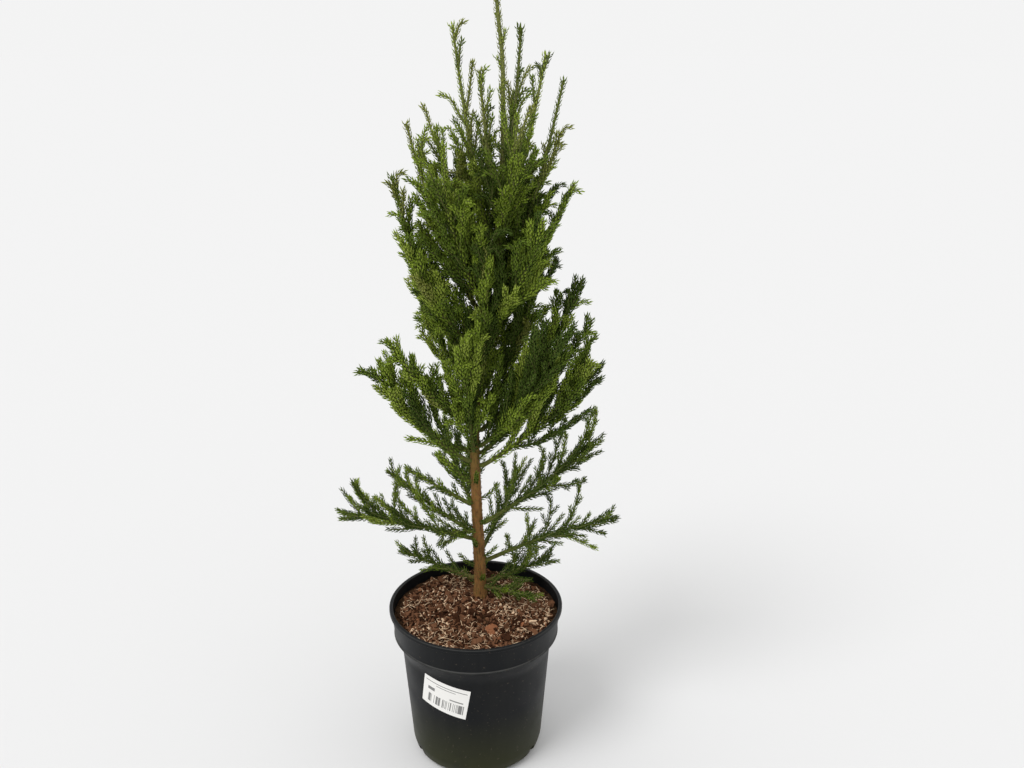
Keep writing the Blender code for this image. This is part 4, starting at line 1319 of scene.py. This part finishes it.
# Stock label: a small white paper sticker, stuck a little askew on the pot's wall. Its print is only
# plain rules and a run of plain bars.
STICKER_WIDTH = 54 * MM
STICKER_HEIGHT = 38 * MM
STICKER_THICKNESS = 0.25 * MM
STICKER_AZIMUTH = -113.6
STICKER_LEVEL = 104.3 * MM
STICKER_TILT = -11.5
STICKER_COLUMNS = 56
STICKER_ROWS = 10
STICKER_GAP = 0.12 * MM
# Height and radius of the pot's wall below and above the label, in millimetres
WALL_LOW = (14, 73)
WALL_HIGH = (129, 82)
# The print's marks as shares of the paper: left, right, bottom, top
BAR_COLUMNS = 88.0
BARS = (0.14, 0.93, 0.13, 0.43)
RULES = [
    (0.05, 0.95, 0.855, 0.88),
    (0.3, 0.72, 0.78, 0.8),
    (0.12, 0.28, 0.56, 0.67),
    (0.62, 0.9, 0.5, 0.54),
]
PAPER_WHITE = (0.8, 0.79, 0.76)
PRINT_BLACK = (0.06, 0.06, 0.06)


def sticker_mesh():
    tilt = math.radians(STICKER_TILT)
    shape = bmesh.new()
    layer = shape.loops.layers.uv.new("paper")
    grid = []
    for row in shares(STICKER_ROWS):
        points = []
        for column in shares(STICKER_COLUMNS):
            across = STICKER_WIDTH * (column - 0.5)
            up = STICKER_HEIGHT * (row - 0.5)
            height = STICKER_LEVEL + across * math.sin(tilt) + up * math.cos(tilt)
            around = across * math.cos(tilt) - up * math.sin(tilt)
            share = (height / MM - WALL_LOW[0]) / (WALL_HIGH[0] - WALL_LOW[0])
            radius = mix(WALL_LOW[1], WALL_HIGH[1], share) * MM + STICKER_GAP
            turn = math.radians(STICKER_AZIMUTH) + around / radius
            points.append(shape.verts.new((radius * math.cos(turn), radius * math.sin(turn), height)))
        grid.append(points)
    for row in range(STICKER_ROWS):
        for column in range(STICKER_COLUMNS):
            corners = [(row, column), (row, column + 1), (row + 1, column + 1), (row + 1, column)]
            face = shape.faces.new([grid[r][c] for r, c in corners])
            for loop, (r, c) in zip(face.loops, corners):
                loop[layer].uv = (c / STICKER_COLUMNS, r / STICKER_ROWS)
    mesh = bpy.data.meshes.new("sticker_paper")
    shape.to_mesh(mesh)
    shape.free()
    return mesh


def between(tree, value, low, high):
    """1 where the value lies between two limits, else 0."""
    return times(tree, maths(tree, "GREATER_THAN", value, low), maths(tree, "LESS_THAN", value, high))


def printed_paper():
    made, tree, shader = new_finish("label_paper", 0.5)
    spot = wire(tree, "ShaderNodeUVMap", uv_map="paper").outputs[0]
    across, up, _ = wire(tree, "ShaderNodeSeparateXYZ", {0: spot}).outputs

    def within(left, right, bottom, top):
        return times(tree, between(tree, across, left, right), between(tree, up, bottom, top))

    column = maths(tree, "FLOOR", times(tree, across, BAR_COLUMNS))
    dealt = wire(tree, "ShaderNodeTexWhiteNoise", {"W": column}, noise_dimensions="1D")
    ink = times(tree, maths(tree, "GREATER_THAN", dealt, 0.42), within(*BARS))
    for rule in RULES:
        ink = maths(tree, "MAXIMUM", ink, within(*rule))
    paint(tree, shader, blended(tree, times(tree, ink, 0.8), PAPER_WHITE, PRINT_BLACK))
    return made


sticker = add_piece("label_sticker", sticker_mesh(), printed_paper())
paper = sticker.modifiers.new("paper", "SOLIDIFY")
paper.thickness = STICKER_THICKNESS
paper.offset = 1
sticker.data = settled_mesh(sticker)
sticker.modifiers.clear()
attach(sticker, "root")
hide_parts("sticker")

# Studio: a plain pale floor that runs into an even pale sky, and one large soft lamp from the upper
# left. The camera stands in front, level with the crown, and looks down.
FLOOR_REACH = 60
FLOOR_GREY = (0.72, 0.72, 0.72)
FLOOR_DROP = 0.1 * MM
SKY_STRENGTH = 0.9
LAMP_STRENGTH = 1.42
LAMP_ANGLE = 28
LAMP_FROM = (-0.46, -0.42, 0.78)
SENSOR_WIDTH = 36
FOCAL_LENGTH = 35.156
CAMERA_PLACE = (0.0398, -0.967, 0.759)
CAMERA_PITCH = 71.2
floor_mesh = bpy.data.meshes.new("floor")
floor_corners = [(x * FLOOR_REACH, y * FLOOR_REACH, 0) for x, y in ((-1, -1), (1, -1), (1, 1), (-1, 1))]
floor_mesh.from_pydata(floor_corners, [], [(0, 1, 2, 3)])
floor = add_piece("floor", floor_mesh, new_finish("pale_floor", 0.9, FLOOR_GREY, 0.0)[0])
floor.location.z = -FLOOR_DROP

world = bpy.data.worlds.new("studio")
bpy.context.scene.world = world
world.use_nodes = True
sky = world.node_tree.nodes["Background"]
sky.inputs["Color"].default_value = (1, 1, 1, 1)
sky.inputs["Strength"].default_value = SKY_STRENGTH

lamp = bpy.data.lights.new("soft_lamp", "SUN")
lamp.energy = LAMP_STRENGTH
lamp.angle = math.radians(LAMP_ANGLE)
key = bpy.data.objects.new("soft_lamp", lamp)
key.rotation_mode = "QUATERNION"
key.rotation_quaternion = Vector(LAMP_FROM).to_track_quat("Z", "Y")
bpy.context.scene.collection.objects.link(key)

lens = bpy.data.cameras.new("camera")
lens.sensor_width = SENSOR_WIDTH
lens.lens = FOCAL_LENGTH
lens.clip_start = 0.01
lens.clip_end = 200
camera = bpy.data.objects.new("camera", lens)
camera.location = CAMERA_PLACE
camera.rotation_euler = (math.radians(CAMERA_PITCH), 0, 0)
bpy.context.scene.collection.objects.link(camera)
bpy.context.scene.camera = camera
bpy.context.scene.view_settings.view_transform = "Standard"
